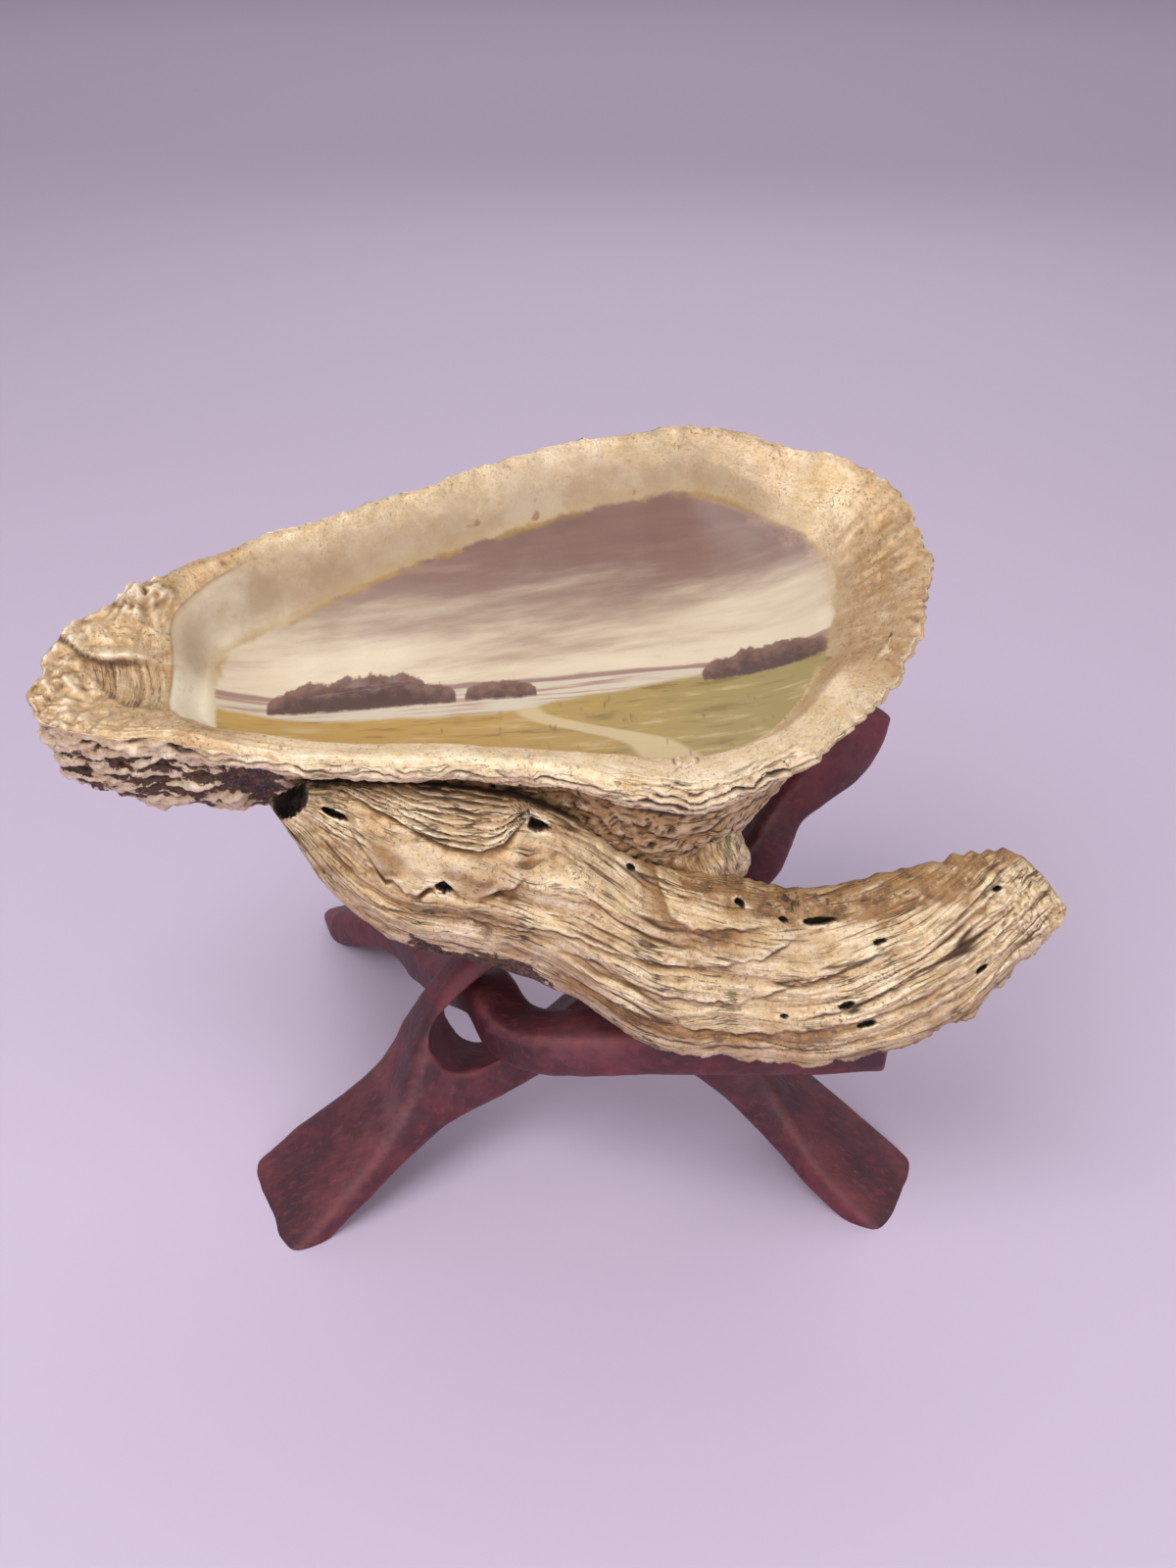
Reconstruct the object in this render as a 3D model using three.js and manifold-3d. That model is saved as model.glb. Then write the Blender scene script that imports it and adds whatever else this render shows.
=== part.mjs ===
// A gilded oyster shell resting on a carved wooden stand, in millimetres, +Z up.
// Two valves have grown together: an upper cup, painted inside, and a lower valve with a long tongue.
// The stand is three carved legs that lock through each other's slots.

import * as THREE from 'three';
import { mergeVertices } from 'three/addons/utils/BufferGeometryUtils.js';
import Module from 'manifold-3d';

const wasm = await Module();
wasm.setup();

const { degToRad, lerp, clamp, smoothstep } = THREE.MathUtils;

// Place of everything below, so that the middle of the object's box stands over the origin
const PLACE = [9.2, -22.8, 0];

// Upper valve: its rim lies on a plane that is tilted towards the front
const CUP_PLACE = [-7.3, -18.5, 107];
const CUP_TILT = 26;
const CUP_ROLL = 2.5;
const CUP_TURN = 6;

// Rim of the cup, clockwise from the beak, in its plane: along, across, width of the gilded band,
// width of the wall inside it, height of the lip, and how far the lip overhangs
const RIM = [
  [-98, 26, 26, 6, 9, 0],
  [-94, 38, 21, 6, 8, 0],
  [-80, 48.5, 10, 8, 6, 1],
  [-63, 57.5, 5, 9, 4, 1],
  [-45, 63.5, 4, 9, 3, 1],
  [-27, 69, 4, 9, 3, 1],
  [-9, 75, 4, 9, 3, 1],
  [9, 80.2, 4, 9, 3, 1],
  [27, 82.4, 4, 8, 3, 1],
  [42, 82.5, 5, 7, 3, 1],
  [58, 75.6, 8, 6, 3, 1],
  [73, 68.5, 11, 6, 3, 1],
  [81, 56, 13, 6, 3, 1],
  [82.5, 42, 14, 6, 3, 1],
  [78.5, 27.5, 13, 6, 3, 1],
  [71, 13.5, 11, 6, 4, 1],
  [58, 1.2, 9, 6, 5, 1],
  [44, -7, 8, 6, 6, 2],
  [27, -11.5, 10, 5, 6, 3],
  [10, -7, 8, 5, 5, 4],
  [-6, -2.2, 6, 5, 4.5, 5],
  [-23, 0.5, 6, 5, 4.5, 5],
  [-40, 2.5, 6, 5, 4.5, 5],
  [-56, 6.5, 6, 6, 5, 3],
  [-70, 11.5, 6, 6, 9, 0],
  [-84, 14.5, 13, 6, 10, 0],
  [-94, 18.5, 21, 6, 10, 0],
];
const RIM_COLUMNS = 84;
const RIM_SCALLOP = 0.7;
const SCALLOP_WAVES = [[23, 0.1, 0.5], [37, 0.4, 0.3], [11, 0.7, 0.2]];
const LIP_ROLL = 0.4;
const LIP_UNDERSIDE = 0.6;
const BAND_CROWN = 0.8;
const BAND_SLOPE = 0.2;
const WALL_DEPTH = 10.5;
const BOWL_DEPTH = 17;
const CUP_FLOOR = [[-46, 32], [40, 36]];
const RIDGE_EASE = 25;
const FLOOR_RINGS = [0.8, 0.55, 0.25];
const WALL_RINGS = [1, 0.75, 0.5, 0.25];
const BAND_RINGS = [1, 0.65, 0.3, 0];
const HINGE_HOLLOW = { along: -84, across: 28, reach: 8, depth: 2.5 };

// Outside of the cup: growth ledges that crowd towards the beak
const DOME_DEPTH = 33;
const DOME_CROWN = [[-64, 28], [-16, 33]];
const DOME_SQUARENESS = { near: 2.9, far: 2, change: 45 };
const LEDGES = 5;
const LEDGE_STEP = 1.6;
const BEAK_LUMP = { height: 1.2, waves: 17, shift: 2.4, from: -50, to: -85 };

// Lower valve, from its pinched left end to the tip of its tongue: top edge, bottom edge,
// bulge to the front and bulge to the back
const LOWER = [
  [-61.4, -16, 96.5, -61.2, -16.7, 95.5, 0, 0],
  [-56.6, -14.4, 99, -55.9, -22, 90.5, 2, 10],
  [-49, -13.3, 101, -48.5, -24.4, 79, 4, 18],
  [-37.6, -14.1, 101, -36.6, -25.7, 69, 6, 22],
  [-22.6, -14.9, 100, -21.5, -25.5, 64, 7, 24],
  [-5.7, -15.5, 97, -3.9, -28.1, 58, 7, 24],
  [9.5, -17.9, 90, 12.5, -35.5, 51, 6, 20],
  [24.7, -20.9, 84, 27.9, -37.8, 50, 5, 14],
  [42.3, -20.8, 79, 48, -39.2, 50, 5, 9],
  [63.6, -17.8, 82, 69.6, -37.1, 57, 5, 8],
  [81.7, -19.6, 87, 85.6, -30.3, 69, 4, 6],
  [91.6, -28.2, 80, 91.6, -28.8, 78, 0, 0],
];
const LOWER_STEPS = 40;
const FRONT_STEPS = 20;
const BACK_STEPS = 12;
const EDGE_ROUNDING = 0.65;
const LEAST_BULGE = 0.1;
const FOLDS = 6;
const FOLD_STEP = 1.4;
const FOLD_WAVE = { size: 0.35, rate: 0.9 };

// Share of a row over which the direction of a run is measured
const RUN_SPAN = 0.15;

// Stand legs from foot to tip: path point, half width across the slot, half depth
const LEG_SIDES = 14;
const LEG_STEPS = 4;
const LEG_SQUARENESS = 3;
const TIP_EASE = 1.5;
const TIP_SCALE = 0.75;
const SLOT_SIDES = 20;
const FLOOR_BLOCK = 400;
const LEGS = {
  stand_leg_front_left: {
    across: [0.5, 0.05, -0.86],
    path: [
      [-76, -32, -15, 8, 14],
      [-59, -24, -1, 8, 14],
      [-42, -15, 13, 8, 11.5],
      [-25, -7, 29, 16, 7.5],
      [-9, -1.2, 38, 9.5, 7.5],
      [6, 3.8, 46.5, 7.5, 7.5],
      [28, 9, 64, 7, 7.5],
      [48, 16, 81, 9, 9.5],
      [55, 20, 92.7, 8, 9],
    ],
    slot: { row: 3, length: 36, opening: 16.5 },
  },
  stand_leg_front_right: {
    across: [0, -0.91, 0.41],
    path: [
      [74, -25, -15, 14, 8],
      [57, -18, -1, 14, 8],
      [41, -11, 14, 11, 8],
      [25, -5, 28, 10, 8],
      [5, 4, 45, 18, 7.5],
      [-20, 15, 61, 8.5, 8],
      [-37, 26, 77.5, 7.5, 8.5],
      [-45, 33, 88.3, 7, 8],
    ],
    slot: { row: 4, length: 46, opening: 21 },
  },
  stand_leg_back_left: {
    across: [0, 0, 1],
    path: [
      [-66, 87, -11, 7, 11],
      [-60, 69, 3, 7, 11],
      [-46, 47, 18, 6.5, 9],
      [-33, 18, 27, 5.5, 7],
      [-25, -7, 29.5, 5.2, 6],
      [-9, -18.5, 35, 6, 6.5],
      [16, -23.5, 41.5, 6.5, 7],
      [40, -25.5, 45, 6.5, 7],
      [60, -26.5, 46, 6, 7],
    ],
  },
};

const gilding = new THREE.MeshStandardMaterial({ color: 0xb4935a, roughness: 0.45, metalness: 0.7 });
const stainedWood = new THREE.MeshStandardMaterial({ color: 0x5a2326, roughness: 0.6, metalness: 0 });

/** Rows of numbers, blended smoothly at a position that is counted in rows. */
function rowsAt(rows, position, closed) {
  const count = rows.length;
  const row = (i) => rows[closed ? (i + count) % count : clamp(i, 0, count - 1)];
  const i = Math.min(Math.floor(position), closed ? count - 1 : count - 2);
  const f = position - i;
  return rows[0].map((_, k) => {
    const [a, b, c, d] = [row(i - 1)[k], row(i)[k], row(i + 1)[k], row(i + 2)[k]];
    return b + 0.5 * f * (c - a + f * (2 * a - 5 * b + 4 * c - d + f * (3 * (b - c) + d - a)));
  });
}

/** Triangles of a closed skin over rings of points, with one point closing each end. */
function skin(first, rings, last) {
  const points = [first, ...rings.flat(), last];
  const count = rings[0].length;
  const end = points.length - 1;
  const at = (i, j) => 1 + i * count + (j % count);
  const faces = [];
  for (let j = 0; j < count; j++) {
    faces.push(0, at(0, j + 1), at(0, j), end, at(rings.length - 1, j), at(rings.length - 1, j + 1));
    for (let i = 0; i + 1 < rings.length; i++) {
      faces.push(at(i, j), at(i, j + 1), at(i + 1, j), at(i, j + 1), at(i + 1, j + 1), at(i + 1, j));
    }
  }
  return { points: points.flatMap((p) => p.toArray()), faces };
}

/** A solid for joining and cutting, with its faces turned outwards. */
function solid({ points, faces }) {
  const make = (triangles) =>
    new wasm.Manifold(
      new wasm.Mesh({
        numProp: 3,
        vertProperties: new Float32Array(points),
        triVerts: new Uint32Array(triangles),
      }),
    );
  const made = make(faces);
  return made.volume() > 0 ? made : make(faces.toReversed());
}

/** A three.js geometry as a solid. */
function solidOf(geometry) {
  geometry.deleteAttribute('normal');
  geometry.deleteAttribute('uv');
  const merged = mergeVertices(geometry);
  return solid({ points: merged.attributes.position.array, faces: [...merged.index.array] });
}

/** A named mesh of a finished solid. */
function meshOf(name, body, material) {
  const { vertProperties, triVerts } = body.getMesh();
  const geometry = new THREE.BufferGeometry();
  geometry.setAttribute('position', new THREE.Float32BufferAttribute(vertProperties, 3));
  geometry.setIndex([...triVerts]);
  geometry.computeVertexNormals();
  const mesh = new THREE.Mesh(geometry, material);
  mesh.name = name;
  return mesh;
}

/** Unevenness of a grown edge, between -1 and 1, along a turn counted in whole circles. */
function grown(turn) {
  const wave = ([times, shift, weight]) => weight * Math.sin(2 * Math.PI * (times * turn + shift));
  return SCALLOP_WAVES.reduce((sum, row) => sum + wave(row), 0);
}

/** The nearest point of a ridge line to a rim point, softly clamped to the line's ends. */
function ridgePoint([start, end], along) {
  const share = smoothstep(along, start[0] - RIDGE_EASE, end[0] + RIDGE_EASE);
  return [lerp(start[0], end[0], share), lerp(start[1], end[1], share)];
}

/** Height of the cup's inside, at a distance in from the rim. */
function insideHeight(distance, reach, band, wall) {
  if (distance <= band) {
    return BAND_CROWN * Math.sin((Math.PI * distance) / band) - BAND_SLOPE * distance;
  }
  if (distance <= band + wall) {
    return lerp(-BAND_SLOPE * band, -WALL_DEPTH, smoothstep(distance, band, band + wall));
  }
  const share = (distance - band - wall) / (reach - band - wall);
  return lerp(-WALL_DEPTH, -BOWL_DEPTH, 1 - (1 - share) ** 2);
}

/** The hollow that the ligament leaves in the hinge plate. */
function hingeHollow(along, across) {
  const { along: u, across: v, reach, depth } = HINGE_HOLLOW;
  return depth * Math.exp(-((along - u) ** 2 + (across - v) ** 2) / (reach * reach));
}

/** Rough lumps under the beak, fading out towards the cup. */
function beakLump(along, turn, ring) {
  const { height, waves, shift, from, to } = BEAK_LUMP;
  const strength = 1 - smoothstep(along, to, from);
  return height * strength * Math.sin(2 * Math.PI * waves * turn + shift * ring);
}

/** One column of the cup's skin, from its floor up over the rim and down the outside. */
function cupColumn(turn) {
  const [u, v, band, wall, lip, overhang] = rowsAt(RIM, turn * RIM.length, true);
  const floor = ridgePoint(CUP_FLOOR, u);
  const crown = ridgePoint(DOME_CROWN, u);
  const reach = Math.hypot(floor[0] - u, floor[1] - v);
  const depthReach = Math.hypot(crown[0] - u, crown[1] - v);
  const scallop = (RIM_SCALLOP * grown(turn)) / reach;

  const inside = (distance) => {
    const share = distance / reach - scallop * (1 - distance / reach);
    const along = lerp(u, floor[0], share);
    const across = lerp(v, floor[1], share);
    const height = insideHeight(distance, reach, band, wall) - hingeHollow(along, across);
    return new THREE.Vector3(along, across, height);
  };
  const outside = (distance, height) => {
    const share = distance / depthReach - scallop * (1 - distance / depthReach);
    return new THREE.Vector3(lerp(u, crown[0], share), lerp(v, crown[1], share), height);
  };

  const floorEdge = band + wall;
  const underLip = -lip - LIP_UNDERSIDE;
  const column = FLOOR_RINGS.map((share) => inside(lerp(floorEdge, reach, share)));
  column.push(...WALL_RINGS.map((share) => inside(band + wall * share)));
  column.push(...BAND_RINGS.map((share) => inside(band * share)));
  column.push(outside(-LIP_ROLL, -lip / 2), outside(LIP_ROLL, -lip), outside(overhang, underLip));

  const rings = 2 * LEDGES;
  const { near, far, change } = DOME_SQUARENESS;
  const squareness = lerp(near, far, smoothstep(v, 0, change));
  for (let ring = 1; ring < rings; ring++) {
    const angle = (0.5 * Math.PI * ring) / rings;
    const inward = 1 - Math.cos(angle) ** (2 / squareness);
    const down = Math.sin(angle) ** (2 / squareness);
    const raised = (ring % 2 ? LEDGE_STEP : 0) + beakLump(u, turn, ring);
    const distance = lerp(overhang, depthReach, inward) - raised;
    column.push(outside(distance, lerp(underLip, -DOME_DEPTH, down)));
  }
  return column;
}

/** The upper valve, in place. */
function upperValve() {
  const columns = Array.from({ length: RIM_COLUMNS }, (_, j) => cupColumn(j / RIM_COLUMNS));
  const rings = columns[0].map((_, i) => columns.map((column) => column[i]));
  const middle = ([start, end], height) =>
    new THREE.Vector3((start[0] + end[0]) / 2, (start[1] + end[1]) / 2, height);
  const first = middle(CUP_FLOOR, -BOWL_DEPTH);
  const last = middle(DOME_CROWN, -DOME_DEPTH);

  const turned = new THREE.Euler(degToRad(CUP_TILT), degToRad(-CUP_ROLL), degToRad(CUP_TURN), 'ZYX');
  const place = new THREE.Matrix4().makeRotationFromEuler(turned).setPosition(...CUP_PLACE);
  [first, last, ...rings.flat()].forEach((point) => point.applyMatrix4(place));
  return solid(skin(first, rings, last));
}

/** Stepped height of the lower valve's growth folds, across its face. */
function fold(share, position) {
  const lines = FOLDS * share + FOLD_WAVE.size * Math.sin(FOLD_WAVE.rate * position);
  return FOLD_STEP * (lines - Math.floor(lines)) * Math.sin(Math.PI * share);
}

/** One cross-section of the lower valve, down its front and up its back. */
function lowerSection(position) {
  const row = (at) => rowsAt(LOWER, clamp(at, 0, LOWER.length - 1), false);
  const middle = ([ax, ay, az, bx, by, bz]) =>
    new THREE.Vector3(ax + bx, ay + by, az + bz).multiplyScalar(0.5);
  const now = row(position);
  const top = new THREE.Vector3(...now.slice(0, 3));
  const bottom = new THREE.Vector3(...now.slice(3, 6));
  const [front, back] = now.slice(6).map((bulge) => Math.max(bulge, LEAST_BULGE));
  const run = middle(row(position + RUN_SPAN)).sub(middle(row(position - RUN_SPAN)));
  const forward = bottom.clone().sub(top).cross(run).normalize();

  const point = (share, bulge) => top.clone().lerp(bottom, share).addScaledVector(forward, bulge);
  const round = (share) => Math.sin(Math.PI * share) ** EDGE_ROUNDING;
  const section = [];
  for (let i = 0; i < FRONT_STEPS; i++) {
    const share = i / FRONT_STEPS;
    section.push(point(share, front * round(share) + fold(share, position)));
  }
  for (let i = 0; i < BACK_STEPS; i++) {
    const share = 1 - i / BACK_STEPS;
    section.push(point(share, -back * round(share)));
  }
  return section;
}

/** The lower valve, in place. */
function lowerValve() {
  const last = LOWER.length - 1;
  const rings = [];
  for (let i = 1; i < LOWER_STEPS; i++) {
    rings.push(lowerSection((last * i) / LOWER_STEPS));
  }
  const end = (row) => new THREE.Vector3(...row.slice(0, 3));
  return solid(skin(end(LOWER[0]), rings, end(LOWER[last])));
}

/** A bar of changing, softly squared section along a smooth path. */
function carvedBar(path, across) {
  const steps = (path.length - 1) * LEG_STEPS;
  const side = new THREE.Vector3(...across);
  const frameAt = (position) => {
    const centre = (at) =>
      new THREE.Vector3(...rowsAt(path, clamp(at, 0, path.length - 1), false).slice(0, 3));
    const run = centre(position + RUN_SPAN).sub(centre(position - RUN_SPAN)).normalize();
    const width = side.clone().addScaledVector(run, -side.dot(run)).normalize();
    return { centre: centre(position), run, width, depth: run.clone().cross(width) };
  };
  const ringAt = (position, scale, onward) => {
    const { centre, run, width, depth } = frameAt(position);
    const [halfWidth, halfDepth] = rowsAt(path, position, false).slice(3);
    return Array.from({ length: LEG_SIDES }, (_, k) => {
      const angle = (2 * Math.PI * (k + 0.5)) / LEG_SIDES;
      const square = (value) => Math.sign(value) * Math.abs(value) ** (2 / LEG_SQUARENESS);
      return centre
        .clone()
        .addScaledVector(run, onward)
        .addScaledVector(width, scale * halfWidth * square(Math.cos(angle)))
        .addScaledVector(depth, scale * halfDepth * square(Math.sin(angle)));
    });
  };
  const rings = Array.from({ length: steps + 1 }, (_, i) => ringAt(i / LEG_STEPS, 1, 0));
  rings.push(ringAt(steps / LEG_STEPS, TIP_SCALE, TIP_EASE));
  const foot = frameAt(0).centre;
  const tip = frameAt(path.length - 1);
  tip.centre.addScaledVector(tip.run, TIP_EASE);
  return { body: solid(skin(foot, rings, tip.centre)), frameAt };
}

/** The long rounded slot that another leg passes through. */
function slotCutter({ length, opening }, { centre, run, width, depth }, reach) {
  const outline = new THREE.Shape().absellipse(0, 0, length / 2, opening / 2, 0, 2 * Math.PI);
  const geometry = new THREE.ExtrudeGeometry(outline, {
    depth: 2 * reach,
    bevelEnabled: false,
    curveSegments: SLOT_SIDES,
  });
  geometry.translate(0, 0, -reach);
  geometry.applyMatrix4(new THREE.Matrix4().makeBasis(run, width, depth).setPosition(centre));
  return solidOf(geometry);
}

/** A stand leg: the carved bar, cut flat under its foot and through its slot. */
function standLeg({ path, across, slot }) {
  const { body, frameAt } = carvedBar(path, across);
  const floor = new THREE.BoxGeometry(FLOOR_BLOCK, FLOOR_BLOCK, FLOOR_BLOCK);
  floor.translate(0, 0, -FLOOR_BLOCK / 2);
  const standing = body.subtract(solidOf(floor));
  if (!slot) {
    return standing;
  }
  return standing.subtract(slotCutter(slot, frameAt(slot.row), 2 * slot.opening));
}

const paintedOysterShell = new THREE.Group();
paintedOysterShell.name = 'painted_oyster_shell';
paintedOysterShell.position.set(...PLACE);
paintedOysterShell.add(meshOf('oyster_shell', upperValve().add(lowerValve()), gilding));
for (const [name, leg] of Object.entries(LEGS)) {
  paintedOysterShell.add(meshOf(name, standLeg(leg), stainedWood));
}

export default paintedOysterShell;
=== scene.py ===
"""Looks of a gilded oyster shell with a painted cup, resting on a carved three-leg wooden stand."""

import logging
import math
from collections.abc import Sequence
from dataclasses import dataclass
from enum import Enum
from typing import Union

import bmesh
import bpy
import numpy as np
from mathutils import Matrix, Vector


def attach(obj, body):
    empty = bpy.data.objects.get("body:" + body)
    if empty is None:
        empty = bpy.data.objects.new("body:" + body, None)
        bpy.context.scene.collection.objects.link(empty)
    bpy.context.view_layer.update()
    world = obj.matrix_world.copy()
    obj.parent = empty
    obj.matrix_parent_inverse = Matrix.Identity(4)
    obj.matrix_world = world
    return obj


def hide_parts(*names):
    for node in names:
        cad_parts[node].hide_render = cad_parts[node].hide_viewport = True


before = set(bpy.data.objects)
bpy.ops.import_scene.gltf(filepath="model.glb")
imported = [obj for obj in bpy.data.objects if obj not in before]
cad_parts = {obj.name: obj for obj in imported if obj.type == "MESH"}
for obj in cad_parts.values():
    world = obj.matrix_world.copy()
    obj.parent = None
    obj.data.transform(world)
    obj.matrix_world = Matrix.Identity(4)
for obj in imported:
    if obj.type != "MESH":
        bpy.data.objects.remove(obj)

LOG = logging.getLogger("painted_oyster_shell")
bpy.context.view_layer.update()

Array = np.ndarray
Colour = tuple[float, float, float]
Piece = bpy.types.Object
Material = bpy.types.Material
Socket = bpy.types.NodeSocket
Value = Union[Socket, float, Sequence[float]]
Triple = tuple[float, float, float]
Line = tuple[tuple[float, float], ...]

# Sizes below are in millimetres, in the maker's own frame, which PLACE sets over the origin of the part
MM = 0.001
PLACE = np.array((9.2, -22.8, 0.0))
BODY = "root"
NOISE_CELLS = 256
NOISE_GAIN = 1.6
OCTAVE_STEP = 2.03
OCTAVE_SHIFT = 7.1
OCTAVE_FADE = 0.5
LINE_DRAWS = 97
TINY = 1e-6
BUMP_STRENGTH = 0.8


class Slot(Enum):
    """Material slots of the record."""

    SHELL = "gilded_shell"
    WOOD = "stained_wood"


class Mark(Enum):
    """Surface values that the meshes carry for the finishes."""

    # Painted shade: darkness in creases, grooves, holes and hollows, and under free edges and overhangs
    CREASE = "crease"
    # Pale gold on ridges and along the near band: partly rubbed gilding, partly a painted highlight
    RUB_AND_HIGHLIGHT = "crest"
    # Brown on the shell, together with painted shade in valleys and under overhangs
    BROWN = "brown"
    BARE = "bare"
    ACROSS = "across_lines"
    ALONG = "along_lines"
    LINED = "lined"
    GILT = "gilt"
    PAINTED = "painted"
    EDGE = "edge"


def lerp(a: Array | float, b: Array | float, share: Array | float) -> Array:
    """Blend from a to b."""
    return a + (b - a) * share


def unit(value: Array) -> Array:
    """A number held between 0 and 1."""
    return np.clip(value, 0.0, 1.0)


def ramp(value: Array, low: float, high: float) -> Array:
    """Rise smoothly from 0 at low to 1 at high, where low may be the larger."""
    share = unit((value - low) / (high - low))
    return share * share * (3.0 - 2.0 * share)


def window(value: Array, start: float, full: float, falling: float, end: float) -> Array:
    """Rise smoothly from 0 at start to 1 at full, and fall from 1 at falling to 0 at end."""
    return ramp(value, start, full) * ramp(value, end, falling)


def bell(value: Array, middle: float, reach: float) -> Array:
    """A smooth bump of height 1 about a middle."""
    return np.exp(-(((value - middle) / reach) ** 2))


def rows_at(rows: Array, position: Array, closed: bool) -> Array:
    """Blend rows of numbers smoothly at positions that are counted in rows.

    Args:
        rows: One row for each station.
        position: Where to read, in rows.
        closed: Whether the last row runs on into the first.

    Returns:
        One blended row for each position.
    """
    count = len(rows)
    start = np.minimum(np.floor(position).astype(int), count - 1 if closed else count - 2)
    part = (position - start)[:, None]

    def row(step: int) -> Array:
        """The rows that many steps on."""
        index = start + step
        return rows[index % count if closed else np.clip(index, 0, count - 1)]

    a, b, c, d = row(-1), row(0), row(1), row(2)
    cubic = 2 * a - 5 * b + 4 * c - d + part * (3 * (b - c) + d - a)
    return b + 0.5 * part * (c - a + part * cubic)


def curve_at(points: Sequence[tuple[float, float]], position: Array) -> Array:
    """Read a line through a few points, given in order of position."""
    knots = np.array(points)
    return np.interp(position, knots[:, 0], knots[:, 1])


class GrownNoise:
    """Smooth seeded unevenness in space, about -1 to 1."""

    def __init__(self, seed: int) -> None:
        """Draw the order and the slopes of the noise cells."""
        draw = np.random.default_rng(seed)
        self.order = np.tile(draw.permutation(NOISE_CELLS), 3)
        slopes = draw.normal(size=(NOISE_CELLS, 3))
        self.slopes = slopes / np.linalg.norm(slopes, axis=1, keepdims=True)
        self.draws = draw.uniform(size=LINE_DRAWS)

    def at(self, points: Array) -> Array:
        """Read the noise.

        Args:
            points: Places, with three numbers in the last axis, one cell to a unit.

        Returns:
            One value for each place.
        """
        cell = np.floor(points).astype(int)
        part = points - cell
        cell %= NOISE_CELLS
        ease = part**3 * (part * (part * 6 - 15) + 10)
        total = np.zeros(points.shape[:-1])
        for corner in np.ndindex(2, 2, 2):
            index = cell + np.array(corner)
            row = self.order[self.order[self.order[index[..., 0]] + index[..., 1]] + index[..., 2]]
            weight = np.prod(np.where(corner, ease, 1 - ease), axis=-1)
            total += weight * np.sum(self.slopes[row] * (part - corner), axis=-1)
        return NOISE_GAIN * total

    def over(self, a: Array, b: Array | float = 0.0, c: Array | float = 0.0) -> Array:
        """Read the noise over surface coordinates, where a fixed number picks a layer of its own."""
        return self.at(np.stack(np.broadcast_arrays(a, b, c), axis=-1))

    def fractal(self, points: Array, octaves: int = 3) -> Array:
        """Sum finer and weaker layers of the noise."""
        return sum(
            self.at(points * OCTAVE_STEP**k + OCTAVE_SHIFT * k) * OCTAVE_FADE**k for k in range(octaves))

    def strength(self, lines: Array, least: float) -> Array:
        """A drawn strength for each growth line, from least to 1."""
        return lerp(least, 1.0, self.draws[np.floor(lines).astype(int) % LINE_DRAWS])

    def lines(self, across: Array, along: Array, size: float, stretch: float, layer: float) -> Array:
        """Uneven growth lines of a size, drawn out along their run, about -1 to 1."""
        return self.over(across / size, along / (size * stretch), layer)


def squared(value: Array, squareness: float) -> Array:
    """Round a circle's coordinate towards a square's."""
    return np.sign(value) * np.abs(value) ** (2 / squareness)


def rotation(axis: int, degrees: float) -> Array:
    """A turn about one axis, as a matrix."""
    cosine, sine = math.cos(math.radians(degrees)), math.sin(math.radians(degrees))
    first, second = (axis + 1) % 3, (axis + 2) % 3
    turned = np.eye(3)
    turned[first, first] = turned[second, second] = cosine
    turned[first, second] = -sine
    turned[second, first] = sine
    return turned


def groove(value: Array, width: float) -> Array:
    """Thin marks where a noise passes through zero, 0 to 1."""
    return unit(1 - np.abs(value) / width) ** 1.5


def ledge(lines: Array, drop: float = 0.14) -> Array:
    """Height of growth lamellae that climb over each line and fall at its free edge, 0 to 1."""
    part = lines - np.floor(lines)
    return np.minimum(part / (1 - drop), (1 - part) / drop)


def shadow_under_edge(lines: Array, width: float = 0.16) -> Array:
    """Depth of painted shadow under the free edge of each growth line, 0 to 1."""
    part = lines - np.floor(lines)
    return np.exp(-part / width) + np.exp(-(1 - part) / (0.4 * width))


def line_distance(line: Array, along: Array, across: Array) -> Array:
    """Distance from places on a surface to a line of short straight pieces."""
    nearest = np.full(np.broadcast(along, across).shape, np.inf)
    for (ax, ay), (bx, by) in zip(line[:-1], line[1:]):
        dx, dy = bx - ax, by - ay
        share = unit(((along - ax) * dx + (across - ay) * dy) / (dx * dx + dy * dy))
        nearest = np.minimum(nearest, np.hypot(along - ax - share * dx, across - ay - share * dy))
    return nearest


def grid_normals(grid: Array) -> Array:
    """Unit normals of a grid of points whose columns close on themselves."""
    along = np.roll(grid, -1, axis=1) - np.roll(grid, 1, axis=1)
    normals = np.cross(along, np.gradient(grid, axis=0))
    return normals / np.maximum(np.linalg.norm(normals, axis=-1, keepdims=True), TINY)


def softened(field: Array, passes: int) -> Array:
    """A grid of values, evened out with its neighbours."""
    for _ in range(passes):
        padded = np.pad(field, ((1, 1), (0, 0)), mode="edge")
        field = (2 * field + padded[:-2] + padded[2:]) / 4
        field = (2 * field + np.roll(field, 1, axis=1) + np.roll(field, -1, axis=1)) / 4
    return field


def cavity(height: Array, passes: int, depth: float) -> Array:
    """How far each point of a relief lies below its surroundings, 0 to 1 at a depth."""
    return unit((softened(height, passes) - height) / depth)


def crest(height: Array, passes: int, rise: float) -> Array:
    """How far each point of a relief stands above its surroundings, 0 to 1 at a rise."""
    return unit((height - softened(height, passes)) / rise)


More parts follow.
